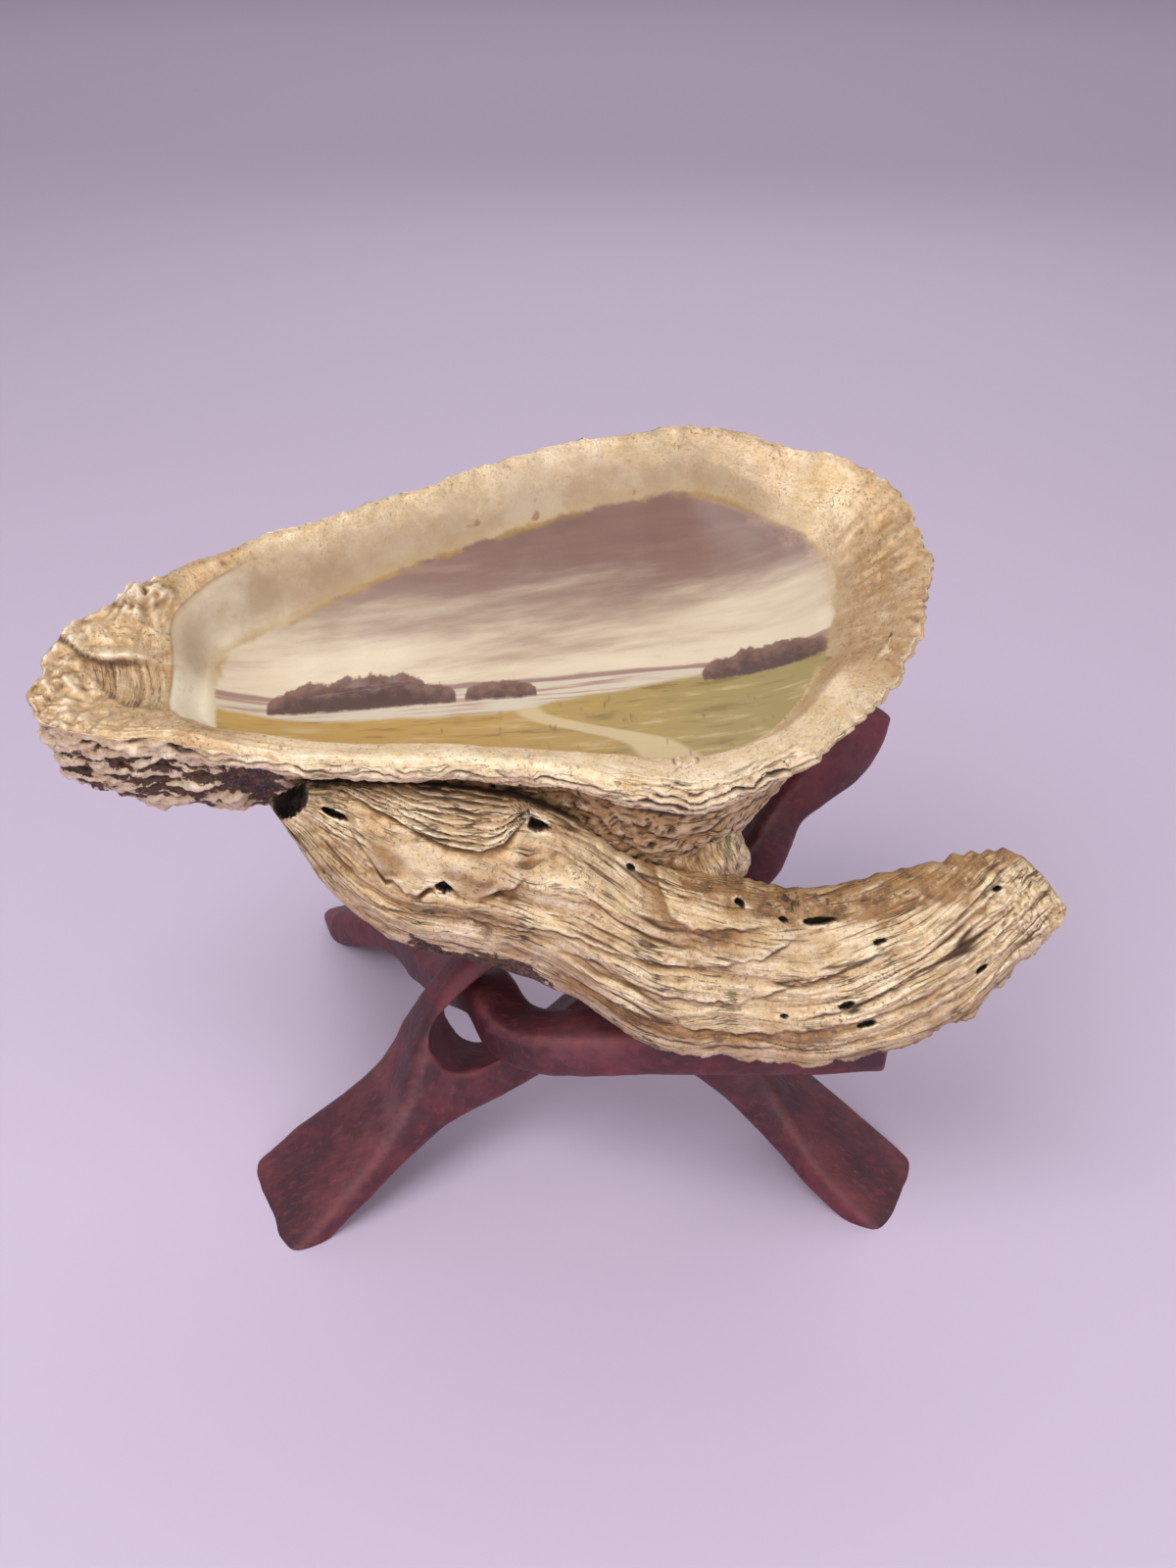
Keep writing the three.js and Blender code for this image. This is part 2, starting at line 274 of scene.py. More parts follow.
def skin(name: str, grid: Array, ends: tuple[Array, Array], marks: dict[Mark, Array]) -> Piece:
    """Make a closed mesh over a grid of points, with one point closing each end.

    Args:
        name: Name of the piece.
        grid: Points by ring and column, in millimetres.
        ends: The points before the first ring and after the last.
        marks: Surface values by ring and column.

    Returns:
        The piece, in place and in metres.
    """
    rings, columns = grid.shape[:2]
    points = np.vstack((ends[0][None], grid.reshape(-1, 3), ends[1][None]))
    index = 1 + np.arange(rings * columns).reshape(rings, columns)
    after = np.roll(index, -1, axis=1)
    quads = np.stack((index[:-1], after[:-1], after[1:], index[1:]), axis=-1).reshape(-1, 4)
    first = np.stack((np.zeros(columns, int), after[0], index[0]), axis=-1)
    last = np.stack((np.full(columns, len(points) - 1), index[-1], after[-1]), axis=-1)
    mesh = bpy.data.meshes.new(name)
    faces = quads.tolist() + first.tolist() + last.tolist()
    mesh.from_pydata(((points + PLACE) * MM).tolist(), [], faces)
    for mark, values in marks.items():
        filled = np.concatenate((values[:1, :1].ravel(), values.ravel(), values[-1:, :1].ravel()))
        attribute = mesh.attributes.new(mark.value, "FLOAT", "POINT")
        attribute.data.foreach_set("value", filled.astype(np.float32))
    shaped = bmesh.new()
    shaped.from_mesh(mesh)
    bmesh.ops.recalc_face_normals(shaped, faces=shaped.faces)
    shaped.to_mesh(mesh)
    shaped.free()
    mesh.polygons.foreach_set("use_smooth", np.ones(len(mesh.polygons), bool))
    piece = bpy.data.objects.new(name, mesh)
    bpy.context.scene.collection.objects.link(piece)
    return piece


def settle(piece: Piece, node: str, material: Material) -> None:
    """Dress a piece and let it stand for a node of the frame."""
    piece.data.materials.clear()
    piece.data.materials.append(material)
    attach(piece, BODY)
    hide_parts(node)
    LOG.info("%s: %d faces", piece.name, len(piece.data.polygons))


class Graph:
    """Short calls that add shader nodes to one tree and link them."""

    def __init__(self, tree: bpy.types.NodeTree) -> None:
        """Work on a tree."""
        self.tree = tree
        self.place = None

    def add(self, kind: str, **settings: object) -> bpy.types.Node:
        """Add a node and set its properties."""
        node = self.tree.nodes.new(kind)
        for name, value in settings.items():
            setattr(node, name, value)
        return node

    def feed(self, socket: Socket, value: Value) -> None:
        """Link a socket to another, or set its value."""
        if isinstance(value, bpy.types.NodeSocket):
            self.tree.links.new(value, socket)
        elif isinstance(value, (int, float)):
            socket.default_value = value
        else:
            size = len(socket.default_value)
            socket.default_value = (*value, 1.0)[:size]

    def math(self, operation: str, a: Value, b: Value = 0.0, c: Value = 0.0, clamp: bool = False) -> Socket:
        """One arithmetic step on numbers."""
        node = self.add("ShaderNodeMath", operation=operation, use_clamp=clamp)
        for socket, value in zip(node.inputs, (a, b, c)):
            self.feed(socket, value)
        return node.outputs[0]

    def times(self, a: Value, b: Value) -> Socket:
        """The product of two numbers."""
        return self.math("MULTIPLY", a, b)

    def minus(self, a: Value, b: Value) -> Socket:
        """The difference of two numbers."""
        return self.math("SUBTRACT", a, b)

    def scaled(self, a: Value, factor: Value, plus: Value) -> Socket:
        """A number times a factor, plus another."""
        return self.math("MULTIPLY_ADD", a, factor, plus)

    def blend(self, share: Value, a: Value, b: Value, how: str = "MIX") -> Socket:
        """Mix two colours by a share."""
        node = self.add("ShaderNodeMix", data_type="RGBA", blend_type=how, clamp_factor=True)
        for socket, value in zip((node.inputs[0], node.inputs[6], node.inputs[7]), (share, a, b)):
            self.feed(socket, value)
        return node.outputs[2]

    def ease(self, value: Value, low: float, high: float, least: Value = 0.0, most: Value = 1.0) -> Socket:
        """A smooth step of a number between two limits."""
        node = self.add("ShaderNodeMapRange", interpolation_type="SMOOTHSTEP", clamp=True)
        for socket, given in zip(node.inputs, (value, low, high, least, most)):
            self.feed(socket, given)
        return node.outputs[0]

    def where(self) -> Socket:
        """Place on the object, in metres."""
        if self.place is None:
            self.place = self.add("ShaderNodeTexCoord").outputs["Object"]
        return self.place

    def noise(
        self, size: float, detail: float = 3.0, rough: float = 0.5, vector: Value | None = None
    ) -> Socket:
        """Noise with features of a size in millimetres, about 0.5."""
        node = self.add("ShaderNodeTexNoise")
        self.feed(node.inputs["Vector"], self.where() if vector is None else vector)
        scale = 1.0 / (size * MM) if vector is None else 1.0 / size
        for name, value in (("Scale", scale), ("Detail", detail), ("Roughness", rough)):
            self.feed(node.inputs[name], value)
        return node.outputs[0]

    def mark(self, mark: Mark) -> Socket:
        """A surface value that the mesh carries."""
        return self.add("ShaderNodeAttribute", attribute_name=mark.value).outputs["Fac"]

    def spread(self, a: Value, b: Value, c: Value = 0.0) -> Socket:
        """A vector from three numbers."""
        node = self.add("ShaderNodeCombineXYZ")
        for socket, value in zip(node.inputs, (a, b, c)):
            self.feed(socket, value)
        return node.outputs[0]

    def dot(self, vector: Value, direction: Sequence[float]) -> Socket:
        """Length of a vector along a direction."""
        node = self.add("ShaderNodeVectorMath", operation="DOT_PRODUCT")
        self.feed(node.inputs[0], vector)
        self.feed(node.inputs[1], direction)
        return node.outputs["Value"]

    def bump(self, height: Value, depth: float, strength: float = 1.0) -> Socket:
        """A normal from a height, whose full range is a depth in millimetres."""
        node = self.add("ShaderNodeBump")
        self.feed(node.inputs["Height"], height)
        self.feed(node.inputs["Distance"], depth * MM)
        self.feed(node.inputs["Strength"], strength)
        return node.outputs[0]


class Effect:
    """A shader effect as a node group with named inputs and outputs."""

    def __init__(self, name: str, inputs: dict[str, float], outputs: dict[str, str]) -> None:
        """Make an empty group.

        Args:
            name: Name of the group.
            inputs: Numbers that the effect takes, with their usual values.
            outputs: Kind of socket for each thing that the effect gives.
        """
        self.tree = bpy.data.node_groups.new(name, "ShaderNodeTree")
        for label, usual in inputs.items():
            socket = self.tree.interface.new_socket(label, in_out="INPUT", socket_type="NodeSocketFloat")
            socket.default_value = usual
        for label, kind in outputs.items():
            self.tree.interface.new_socket(label, in_out="OUTPUT", socket_type=kind)
        self.graph = Graph(self.tree)
        self.taken = self.graph.add("NodeGroupInput").outputs
        self.given = self.graph.add("NodeGroupOutput").inputs

    def use(self, graph: Graph, **values: Value) -> bpy.types.NodeOutputs:
        """Place the effect in a material.

        Args:
            graph: The material's own nodes.
            values: What to feed to each input.

        Returns:
            The effect's outputs.
        """
        node = graph.add("ShaderNodeGroup", node_tree=self.tree)
        for label, value in values.items():
            graph.feed(node.inputs[label], value)
        return node.outputs


class Speckle(Effect):
    """Fine dark grains that gather in patches."""

    def __init__(self) -> None:
        """Build the group."""
        super().__init__("fine_speckle", {"Size": 1.0, "Amount": 0.5}, {"Mask": "NodeSocketFloat"})
        g = self.graph
        vector = g.add("ShaderNodeVectorMath", operation="SCALE")
        g.feed(vector.inputs[0], g.where())
        g.feed(vector.inputs["Scale"], g.math("DIVIDE", 1.0 / MM, self.taken["Size"]))
        grains = g.noise(1.0, 2.0, 0.6, vector.outputs[0])
        patches = g.ease(g.noise(9.0, 3.0), 0.35, 0.68, 0.25, 1.0)
        dark = g.ease(grains, 0.56, 0.70)
        g.feed(self.given["Mask"], g.times(g.times(dark, patches), self.taken["Amount"]))


class Gilding(Effect):
    """Worn champagne gilding with brown and painted shade in its recesses, painted highlights on its ridges
    and bare shell where it ends.
    """

    FED = {
        "CreaseShade": Mark.CREASE, "RubAndHighlight": Mark.RUB_AND_HIGHLIGHT, "BrownAndShade": Mark.BROWN, "Bare": Mark.BARE,
        "Across": Mark.ACROSS, "Along": Mark.ALONG, "Lined": Mark.LINED}
    PALE: Colour = (0.95, 0.79, 0.585)
    GOLD: Colour = (0.645, 0.445, 0.215)
    DEEP: Colour = (0.36, 0.186, 0.067)
    # A brown for stains and fine lines, also the painted shade of creases
    BROWN: Colour = (0.135, 0.058, 0.021)
    SHADE: Colour = (0.018, 0.009, 0.005)
    BARE: Colour = (0.105, 0.042, 0.046)
    RUB_AND_HIGHLIGHT_SHARE = 0.7
    THREAD_DARK = 0.72
    SEAM_SHADE = 0.8
    STAINED = 0.9
    METAL = 0.5
    SATIN = (0.36, 0.5)
    DULLED = 0.22

    def __init__(self, speckle: Speckle) -> None:
        """Build the group.

        Args:
            speckle: The grains in the gilding.
        """
        kinds = {"Color": "NodeSocketColor", "Metallic": "NodeSocketFloat"}
        kinds |= {"Roughness": "NodeSocketFloat", "Height": "NodeSocketFloat"}
        super().__init__("worn_gilding", dict.fromkeys(self.FED, 0.0), kinds)
        g, taken = self.graph, self.taken
        fine = g.noise(0.6, 4.0, 0.7)
        threads, folds, seam_shadows = self.growth_lines()
        grains = speckle.use(g, Size=0.7, Amount=0.6)["Mask"]
        gold = g.blend(g.ease(g.noise(6.0, 5.0, 0.65), 0.30, 0.70, 0.1, 0.75), self.GOLD, self.PALE)
        gold = g.blend(g.ease(g.noise(22.0, 4.0, 0.6), 0.46, 0.74, 0.0, 0.5), gold, self.DEEP)
        gold = g.blend(g.ease(fine, 0.50, 0.28, 0.0, 0.6), gold, self.DEEP)
        gold = g.blend(g.ease(fine, 0.54, 0.72, 0.0, 0.5), gold, self.PALE)
        gold = g.blend(g.ease(taken["BrownAndShade"], 0.0, 0.5, 0.0, 0.6), gold, self.DEEP)
        # Painted highlight on ridges, as well as rubbed gilding
        gold = g.blend(g.times(taken["RubAndHighlight"], self.RUB_AND_HIGHLIGHT_SHARE), gold, self.PALE)
        gold = g.blend(g.times(threads, self.THREAD_DARK), gold, self.BROWN)
        # Painted shade: thin seams darkened to near black
        gold = g.blend(g.times(seam_shadows, self.SEAM_SHADE), gold, self.SHADE)
        gold = g.blend(grains, gold, self.SHADE)

        ragged = g.minus(g.noise(2.4, 5.0, 0.7), 0.5)
        brown = g.ease(g.scaled(ragged, 1.9, taken["BrownAndShade"]), 0.36, 0.80)
        flecks = g.ease(g.noise(0.9, 3.0, 0.6), 0.56, 0.70)
        brown = g.times(brown, g.scaled(flecks, -0.8, 1.0))
        bare = g.ease(g.scaled(ragged, 1.7, taken["Bare"]), 0.45, 0.55)
        deep = g.ease(taken["CreaseShade"], 0.30, 0.95)
        stain = g.blend(g.ease(g.noise(3.5, 5.0, 0.65), 0.32, 0.58), self.BROWN, self.DEEP)
        chalky = g.blend(g.ease(g.noise(1.6, 4.0, 0.65), 0.40, 0.68), self.SHADE, self.BARE)
        colour = g.blend(g.times(brown, self.STAINED), gold, stain)
        colour = g.blend(bare, colour, g.blend(g.ease(fine, 0.5, 0.75), chalky, stain))
        # Painted shade: creases darken to brown, the deepest to near black
        colour = g.blend(g.ease(taken["CreaseShade"], 0.03, 0.55, 0.0, 0.8), colour, self.BROWN)
        colour = g.blend(deep, colour, self.SHADE)
        g.feed(self.given["Color"], colour)

        covered = g.math("MAXIMUM", g.math("MAXIMUM", g.times(brown, 0.6), bare), deep)
        g.feed(self.given["Metallic"], g.scaled(covered, -self.METAL, self.METAL))
        satin = g.ease(g.noise(2.5, 3.0), 0.3, 0.7, *self.SATIN)
        g.feed(self.given["Roughness"], g.math("MULTIPLY_ADD", covered, self.DULLED, satin, clamp=True))
        rough = g.scaled(fine, 0.45, g.times(g.noise(2.0, 5.0, 0.7), 0.8))
        rough = g.scaled(g.times(folds, taken["Lined"]), 1.1, rough)
        rough = g.scaled(threads, -0.4, rough)
        rough = g.scaled(seam_shadows, -0.5, rough)
        g.feed(self.given["Height"], g.scaled(grains, -0.3, rough))

    def growth_lines(self) -> tuple[Socket, Socket, Socket]:
        """Fine growth lines: dark threads, low folds and thin seams of painted shade."""
        g, taken = self.graph, self.taken

        def lined(size: float, stretch: float, layer: float, detail: float) -> Socket:
            """Noise drawn out along the lines."""
            across = g.math("DIVIDE", taken["Across"], size)
            along = g.math("DIVIDE", taken["Along"], size * stretch)
            return g.noise(1.0, detail, 0.55, g.spread(across, along, layer))

        threads = g.times(g.ease(lined(0.75, 12.0, 1.0, 2.0), 0.43, 0.28), taken["Lined"])
        folds = lined(1.5, 11.0, 5.0, 3.0)
        crossing = g.math("ABSOLUTE", g.minus(lined(1.9, 9.0, 9.0, 3.0), 0.5))
        patchy = g.ease(g.noise(8.0, 3.0), 0.42, 0.60)
        seam_shadows = g.times(g.ease(crossing, 0.035, 0.0), g.times(taken["Lined"], patchy))
        return threads, folds, seam_shadows

    def dress(self, g: Graph) -> bpy.types.NodeOutputs:
        """Place the gilding in a material and feed it the surface values of the mesh."""
        return self.use(g, **{label: g.mark(mark) for label, mark in self.FED.items()})


@dataclass(frozen=True)
class CupScene:
    """A plain painted view: a cloudy sky, clumps of round trees, a pale lake and a meadow with a path."""

    left: float = -72.0
    right: float = 78.0
    near: float = 2.0
    far: float = 66.0
    horizon: float = 0.44
    # Clumps of trees: middle, half width and height, as shares of the view
    clumps: tuple[Triple, ...] = ((0.24, 0.13, 0.15), (0.43, 0.05, 0.07), (0.80, 0.09, 0.11))
    sky_high: Colour = (0.205, 0.118, 0.098)
    sky_low: Colour = (0.68, 0.58, 0.44)
    cloud: Colour = (0.40, 0.26, 0.21)
    shore: Colour = (0.33, 0.22, 0.19)
    trees: Colour = (0.090, 0.048, 0.044)
    tree_light: Colour = (0.23, 0.135, 0.105)
    lake: Colour = (0.60, 0.53, 0.43)
    meadow: Colour = (0.46, 0.29, 0.085)
    moss: Colour = (0.32, 0.26, 0.10)
    path: Colour = (0.62, 0.50, 0.31)
    grass: Colour = (0.20, 0.11, 0.035)

    def colour(self, g: Graph, along: Socket, across: Socket) -> Socket:
        """Paint the view.

        Args:
            g: Nodes of the material.
            along: Place along the cup, in millimetres.
            across: Place across the cup, in millimetres.

        Returns:
            The paint's colour.
        """
        a = g.math("DIVIDE", g.minus(along, self.left), self.right - self.left)
        b = g.math("DIVIDE", g.minus(across, self.near), self.far - self.near)
        brush = g.noise(0.035, 4.0, 0.6, g.spread(g.times(a, 0.35), g.times(b, 0.9)))
        slope = g.scaled(a, -0.4, g.times(b, 1.7))
        drift = g.noise(0.24, 6.0, 0.62, g.spread(g.times(a, 0.7), slope))

        rise = g.scaled(g.minus(drift, 0.5), 0.7, b)
        sky = g.blend(g.ease(rise, self.horizon + 0.02, 0.92), self.sky_low, self.sky_high)
        streak = g.times(g.ease(drift, 0.48, 0.70), g.ease(a, 0.9, 0.2, 0.15, 0.55))
        sky = g.blend(streak, sky, self.cloud)

        wave = g.noise(0.16, 3.0, 0.55, g.spread(a, 3.0))
        far_top = g.scaled(wave, 0.055, self.horizon - 0.005)
        colour = g.blend(self.below(g, b, far_top, 0.006), sky, self.shore)

        ripple = g.noise(0.05, 3.0, 0.6, g.spread(g.times(a, 0.3), g.times(b, 2.5)))
        water = g.blend(g.ease(ripple, 0.48, 0.66), self.lake, self.cloud)
        colour = g.blend(self.below(g, b, self.horizon, 0.004), colour, water)

        bank = g.scaled(g.math("SINE", g.scaled(a, 6.3, 2.5)), 0.055, self.horizon - 0.10)
        bank = g.scaled(g.noise(0.12, 3.0, 0.5, g.spread(a, 9.0)), 0.07, bank)
        ground = g.blend(g.ease(g.scaled(brush, 0.5, a), 0.55, 1.1), self.meadow, self.moss)
        ground = g.blend(g.ease(brush, 0.52, 0.68, 0.0, 0.65), ground, self.grass)
        ground = g.blend(g.ease(brush, 0.46, 0.32, 0.0, 0.5), ground, self.path)
        low = self.below(g, b, bank, 0.012)
        colour = g.blend(low, colour, ground)

        bend = g.scaled(g.math("SINE", g.times(g.math("MAXIMUM", b, 0.10), 15.0)), 0.055, 0.60)
        off = g.math("ABSOLUTE", g.minus(a, g.scaled(b, -0.25, bend)))
        half = g.scaled(b, -0.075, 0.04)
        track = g.ease(g.minus(off, half), 0.008, -0.006)
        colour = g.blend(g.times(g.times(track, low), 0.75), colour, self.path)

        blades = g.noise(0.012, 2.0, 0.6, g.spread(a, g.times(b, 0.12)))
        patches = g.ease(g.noise(0.12, 2.0, 0.5, g.spread(a, b, 4.0)), 0.5, 0.6)
        tufts = g.times(g.ease(blades, 0.60, 0.70), patches)
        colour = g.blend(g.times(g.times(tufts, low), 0.6), colour, self.grass)

        for middle, width, height in self.clumps:
            colour = self.clump(g, colour, a, b, middle, width, height)
        return g.blend(0.35, colour, g.blend(brush, self.sky_high, self.sky_low), "SOFT_LIGHT")

    def below(self, g: Graph, b: Socket, top: Value, soft: float) -> Socket:
        """Mask of what lies under a line."""
        return g.ease(g.minus(b, top), soft, -soft)

    def clump(
        self, g: Graph, under: Socket, a: Socket, b: Socket, middle: float, width: float, height: float
    ) -> Socket:
        """Paint a clump of round trees.

        Args:
            g: Nodes of the material.
            under: Colour that the clump covers.
            a: Share along the view.
            b: Share up the view.
            middle: Middle of the clump.
            width: Half of its width.
            height: Its height.

        Returns:
            The colour with the clump in it.
        """
        offset = g.math("DIVIDE", g.minus(a, middle), width)
        dome = g.math("SUBTRACT", 1.0, g.times(offset, offset), clamp=True)
        crowns = g.noise(0.045, 3.0, 0.55, g.spread(a, middle * 9.0))
        leaves = g.noise(0.016, 5.0, 0.7, g.spread(a, g.times(b, 0.45), middle))
        top = g.times(g.math("POWER", dome, 0.5), g.scaled(crowns, 1.1, 0.25))
        top = g.scaled(top, height, self.horizon - 0.035)
        top = g.scaled(g.minus(leaves, 0.5), 0.05, top)
        foot = g.scaled(g.minus(leaves, 0.5), 0.03, self.horizon - 0.055)
        mask = g.times(self.below(g, b, top, 0.006), g.ease(g.minus(b, foot), -0.008, 0.008))
        mask = g.times(mask, g.ease(dome, 0.0, 0.05))
        lit = g.ease(g.scaled(leaves, 0.25, g.minus(b, top)), 0.03, 0.15)
        return g.blend(mask, under, g.blend(lit, self.trees, self.tree_light))


@dataclass(frozen=True)
class CupFinish:
    """Finish of the upper valve: gilding, cream inside walls with rust specks, and the painted floor."""

    cream: Colour = (0.50, 0.402, 0.275)
    chalk: Colour = (0.76, 0.68, 0.52)
    tan: Colour = (0.38, 0.25, 0.145)
    rust: Colour = (0.23, 0.085, 0.03)
    ochre: Colour = (0.38, 0.23, 0.045)
    picture: CupScene = CupScene()
    sheen: tuple[float, float] = (0.34, 0.46)
    relief: float = 0.35

    def build(self, valve: "UpperValve", gilding: Gilding, speckle: Speckle) -> Material:
        """Make the material.

        Args:
            valve: The valve that it dresses, for the directions of its cup.
            gilding: The gilding of the outside.
            speckle: Grains in the cream.

        Returns:
            The material.
        """
        material = new_material("gilded_painted_valve")
        g = Graph(material.node_tree)
        gilt = gilding.dress(g)
        ragged = g.minus(g.noise(3.5, 4.0, 0.6), 0.5)

        origin = (np.array(valve.place) + PLACE) * MM
        along, across = (g.scaled(g.dot(g.where(), axis), 1 / MM, float(-axis @ origin / MM))
                         for axis in valve.axes()[:2])
        mottle = g.noise(11.0, 5.0, 0.62)
        cream = g.blend(g.ease(mottle, 0.42, 0.66), self.cream, self.chalk)
        cream = g.blend(g.ease(g.noise(17.0, 4.0, 0.6), 0.48, 0.70, 0.0, 0.55), cream, self.tan)
        # Painted shade on the walls: the far wall darkens to tan towards the left, and the wall at the beak
        # end is whitened to chalk
        cream = g.blend(g.ease(along, 20.0, -40.0, 0.0, 0.5), cream, self.tan)
        at_beak = g.times(g.ease(along, -56.0, -66.0), g.ease(across, 38.0, 28.0, 0.15, 0.85))
        cream = g.blend(at_beak, cream, self.chalk)
        cream = g.blend(g.ease(g.mark(Mark.GILT), -3.0, -0.2, 0.0, 0.7), cream, self.tan)
        cream = g.blend(g.ease(g.mark(Mark.PAINTED), -3.0, 0.0, 0.0, 0.35), cream, self.ochre)
        cream = g.blend(speckle.use(g, Size=1.6, Amount=0.35)["Mask"], cream, self.tan)
        spots = g.ease(g.noise(4.2, 1.0, 0.4), 0.70, 0.76)
        cream = g.blend(g.times(spots, 0.7), cream, self.rust)

        picture = self.picture.colour(g, along, across)
        inset = g.scaled(ragged, 2.2, g.mark(Mark.PAINTED))
        border = g.times(g.ease(inset, 1.5, 0.2), g.ease(g.noise(9.0, 3.0), 0.44, 0.60))
        picture = g.blend(g.times(border, 0.8), picture, self.ochre)
        painted = g.ease(inset, -0.5, 0.4)

        inner = g.blend(painted, cream, picture)
        gold_edge = g.ease(g.scaled(ragged, 1.6, g.mark(Mark.GILT)), -1.0, 1.0)
        shader = principled(material)
        g.feed(shader.inputs["Base Color"], g.blend(gold_edge, inner, gilt["Color"]))
        g.feed(shader.inputs["Metallic"], g.times(gilt["Metallic"], gold_edge))
        sheen = g.ease(mottle, 0.3, 0.7, *self.sheen)
        rough = g.add("ShaderNodeMix", data_type="FLOAT")
        mixed = (gold_edge, sheen, gilt["Roughness"])
        for socket, value in zip((rough.inputs[0], rough.inputs[2], rough.inputs[3]), mixed):
            g.feed(socket, value)
        g.feed(shader.inputs["Roughness"], rough.outputs[0])
        height = g.times(gilt["Height"], g.scaled(gold_edge, 0.85, 0.15))
        g.feed(shader.inputs["Normal"], g.bump(height, self.relief, BUMP_STRENGTH))
        return material


@dataclass(frozen=True)
class LowerFinish:
    """Finish of the lower valve: gilding all over, brown where it has worn, with painted shade in its
    hollows and painted highlights on its ridges.
    """

    relief: float = 0.4

    def build(self, gilding: Gilding) -> Material:
        """Make the material.

        Args:
            gilding: The gilding of the shell.

        Returns:
            The material.
        """
        material = new_material("gilded_lower_valve")
        g = Graph(material.node_tree)
        gilt = gilding.dress(g)
        shader = principled(material)
        g.feed(shader.inputs["Base Color"], gilt["Color"])
        g.feed(shader.inputs["Metallic"], gilt["Metallic"])
        g.feed(shader.inputs["Roughness"], gilt["Roughness"])
        g.feed(shader.inputs["Normal"], g.bump(gilt["Height"], self.relief, BUMP_STRENGTH))
        return material


@dataclass(frozen=True)
class WoodFinish:
    """Dark red stained wood, redder and lighter where edges have worn."""

    dark: Colour = (0.052, 0.012, 0.018)
    red: Colour = (0.137, 0.0245, 0.035)
    worn: Colour = (0.235, 0.049, 0.058)
    dust: Colour = (0.20, 0.085, 0.095)
    shine: tuple[float, float] = (0.47, 0.67)
    worn_edge: float = 0.32
    grain_scale: Triple = (260.0, 900.0, 420.0)
    grain_turn: Triple = (0.5, -0.75, 0.35)
    relief: float = 0.3
    relief_strength: float = 0.7

    def build(self, speckle: Speckle) -> Material:
        """Make the material.

        Args:
            speckle: Grains in the stain.

        Returns:
            The material.
        """
        material = new_material("stained_wood")
        g = Graph(material.node_tree)
        blotch = g.noise(16.0, 5.0, 0.65)
        colour = g.blend(g.ease(blotch, 0.36, 0.66), self.dark, self.red)
        stretched = g.add("ShaderNodeMapping")
        g.feed(stretched.inputs["Vector"], g.where())
        g.feed(stretched.inputs["Scale"], self.grain_scale)
        g.feed(stretched.inputs["Rotation"], self.grain_turn)
        streaks = g.noise(1.0, 5.0, 0.62, stretched.outputs[0])
        colour = g.blend(g.ease(streaks, 0.5, 0.72, 0.0, 0.45), colour, self.worn)
        colour = g.blend(g.ease(streaks, 0.42, 0.28, 0.0, 0.6), colour, self.dark)
        ragged = g.minus(g.noise(4.0, 4.0, 0.6), 0.5)
        edge = g.ease(g.scaled(ragged, 1.1, g.mark(Mark.EDGE)), 0.35, 1.0)
        colour = g.blend(g.times(edge, self.worn_edge), colour, self.worn)
        colour = g.blend(g.ease(g.noise(30.0, 4.0, 0.6), 0.52, 0.72, 0.0, 0.4), colour, self.dust)
        colour = g.blend(speckle.use(g, Size=1.3, Amount=0.5)["Mask"], colour, self.dark)
        shader = principled(material)
        g.feed(shader.inputs["Base Color"], colour)
        g.feed(shader.inputs["Roughness"], g.ease(blotch, 0.3, 0.7, *self.shine))
        height = g.scaled(streaks, 0.7, g.noise(2.0, 4.0, 0.6))
        g.feed(shader.inputs["Normal"], g.bump(height, self.relief, self.relief_strength))
        return material


@dataclass(frozen=True)
class FloorFinish:
    """Plain pale floor."""

    colour: Colour = (0.60, 0.50, 0.65)
    roughness: float = 0.75

    def build(self) -> Material:
        """Make the material."""
        material = new_material("pale_floor")
        shader = principled(material)
        shader.inputs["Base Color"].default_value = (*self.colour, 1.0)
        shader.inputs["Roughness"].default_value = self.roughness
        return material


def new_material(name: str) -> Material:
    """A new material with its own nodes."""
    material = bpy.data.materials.new(name)
    material.use_nodes = True
    return material


def principled(material: Material) -> bpy.types.Node:
    """The shader of a new material."""
    return next(node for node in material.node_tree.nodes if node.type == "BSDF_PRINCIPLED")


# Rim of the cup, clockwise from the beak: along, across, width of the gilded band,
# width of the wall inside it, height of the lip, and how far the lip overhangs
RIM = (
    (-98, 26, 26, 6, 9, 0),
    (-94, 38, 22.3, 6, 8, 0),
    (-80, 48.5, 10, 8, 6, 1),
    (-63, 57.5, 5, 9, 4, 1),
    (-45, 63.5, 4, 9, 3, 1),
    (-27, 69, 4, 9, 3, 1),
    (-9, 75, 4, 9, 3, 1),
    (9, 80.2, 4, 9, 3, 1),
    (27, 82.4, 4, 8, 3, 1),
    (42, 82.5, 5, 7, 3, 1),
    (58, 75.6, 8, 6, 3, 1),
    (73, 68.5, 11, 6, 3, 1),
    (81, 56, 13, 6, 3, 1),
    (82.5, 42, 14, 6, 2.5, 2),
    (78.5, 27.5, 13, 6, 2, 5),
    (71, 13.5, 11, 6, 2, 7.5),
    (58, 1.2, 9, 6, 2.5, 7),
    (44, -7, 8, 6, 4.5, 4),
    (27, -11.5, 10, 5, 6, 3),
    (10, -7, 8, 5, 5, 4),
    (-6, -2.2, 6, 5, 4.5, 5),
    (-23, 0.5, 6, 5, 4.5, 5),
    (-40, 2.5, 6, 5, 4.5, 5),
    (-56, 6.5, 6, 6, 5, 3),
    (-70, 11.5, 6, 6, 9, 0),
    (-84, 14.5, 14.5, 6, 10, 0),
    (-94, 18.5, 22.5, 6, 10, 0),
)


@dataclass
class RimColumns:
    """What the rim is like at each column of the cup's skin, in millimetres."""

    turn: Array
    along: Array
    across: Array
    band: Array
    wall: Array
    lip: Array
    overhang: Array
    length: Array

    def calm(self) -> Array:
        """0 where the columns meet at the beak and 1 elsewhere, for what is read along the rim."""
        return ramp(np.minimum(self.turn, 1 - self.turn), 0.0, 0.03)


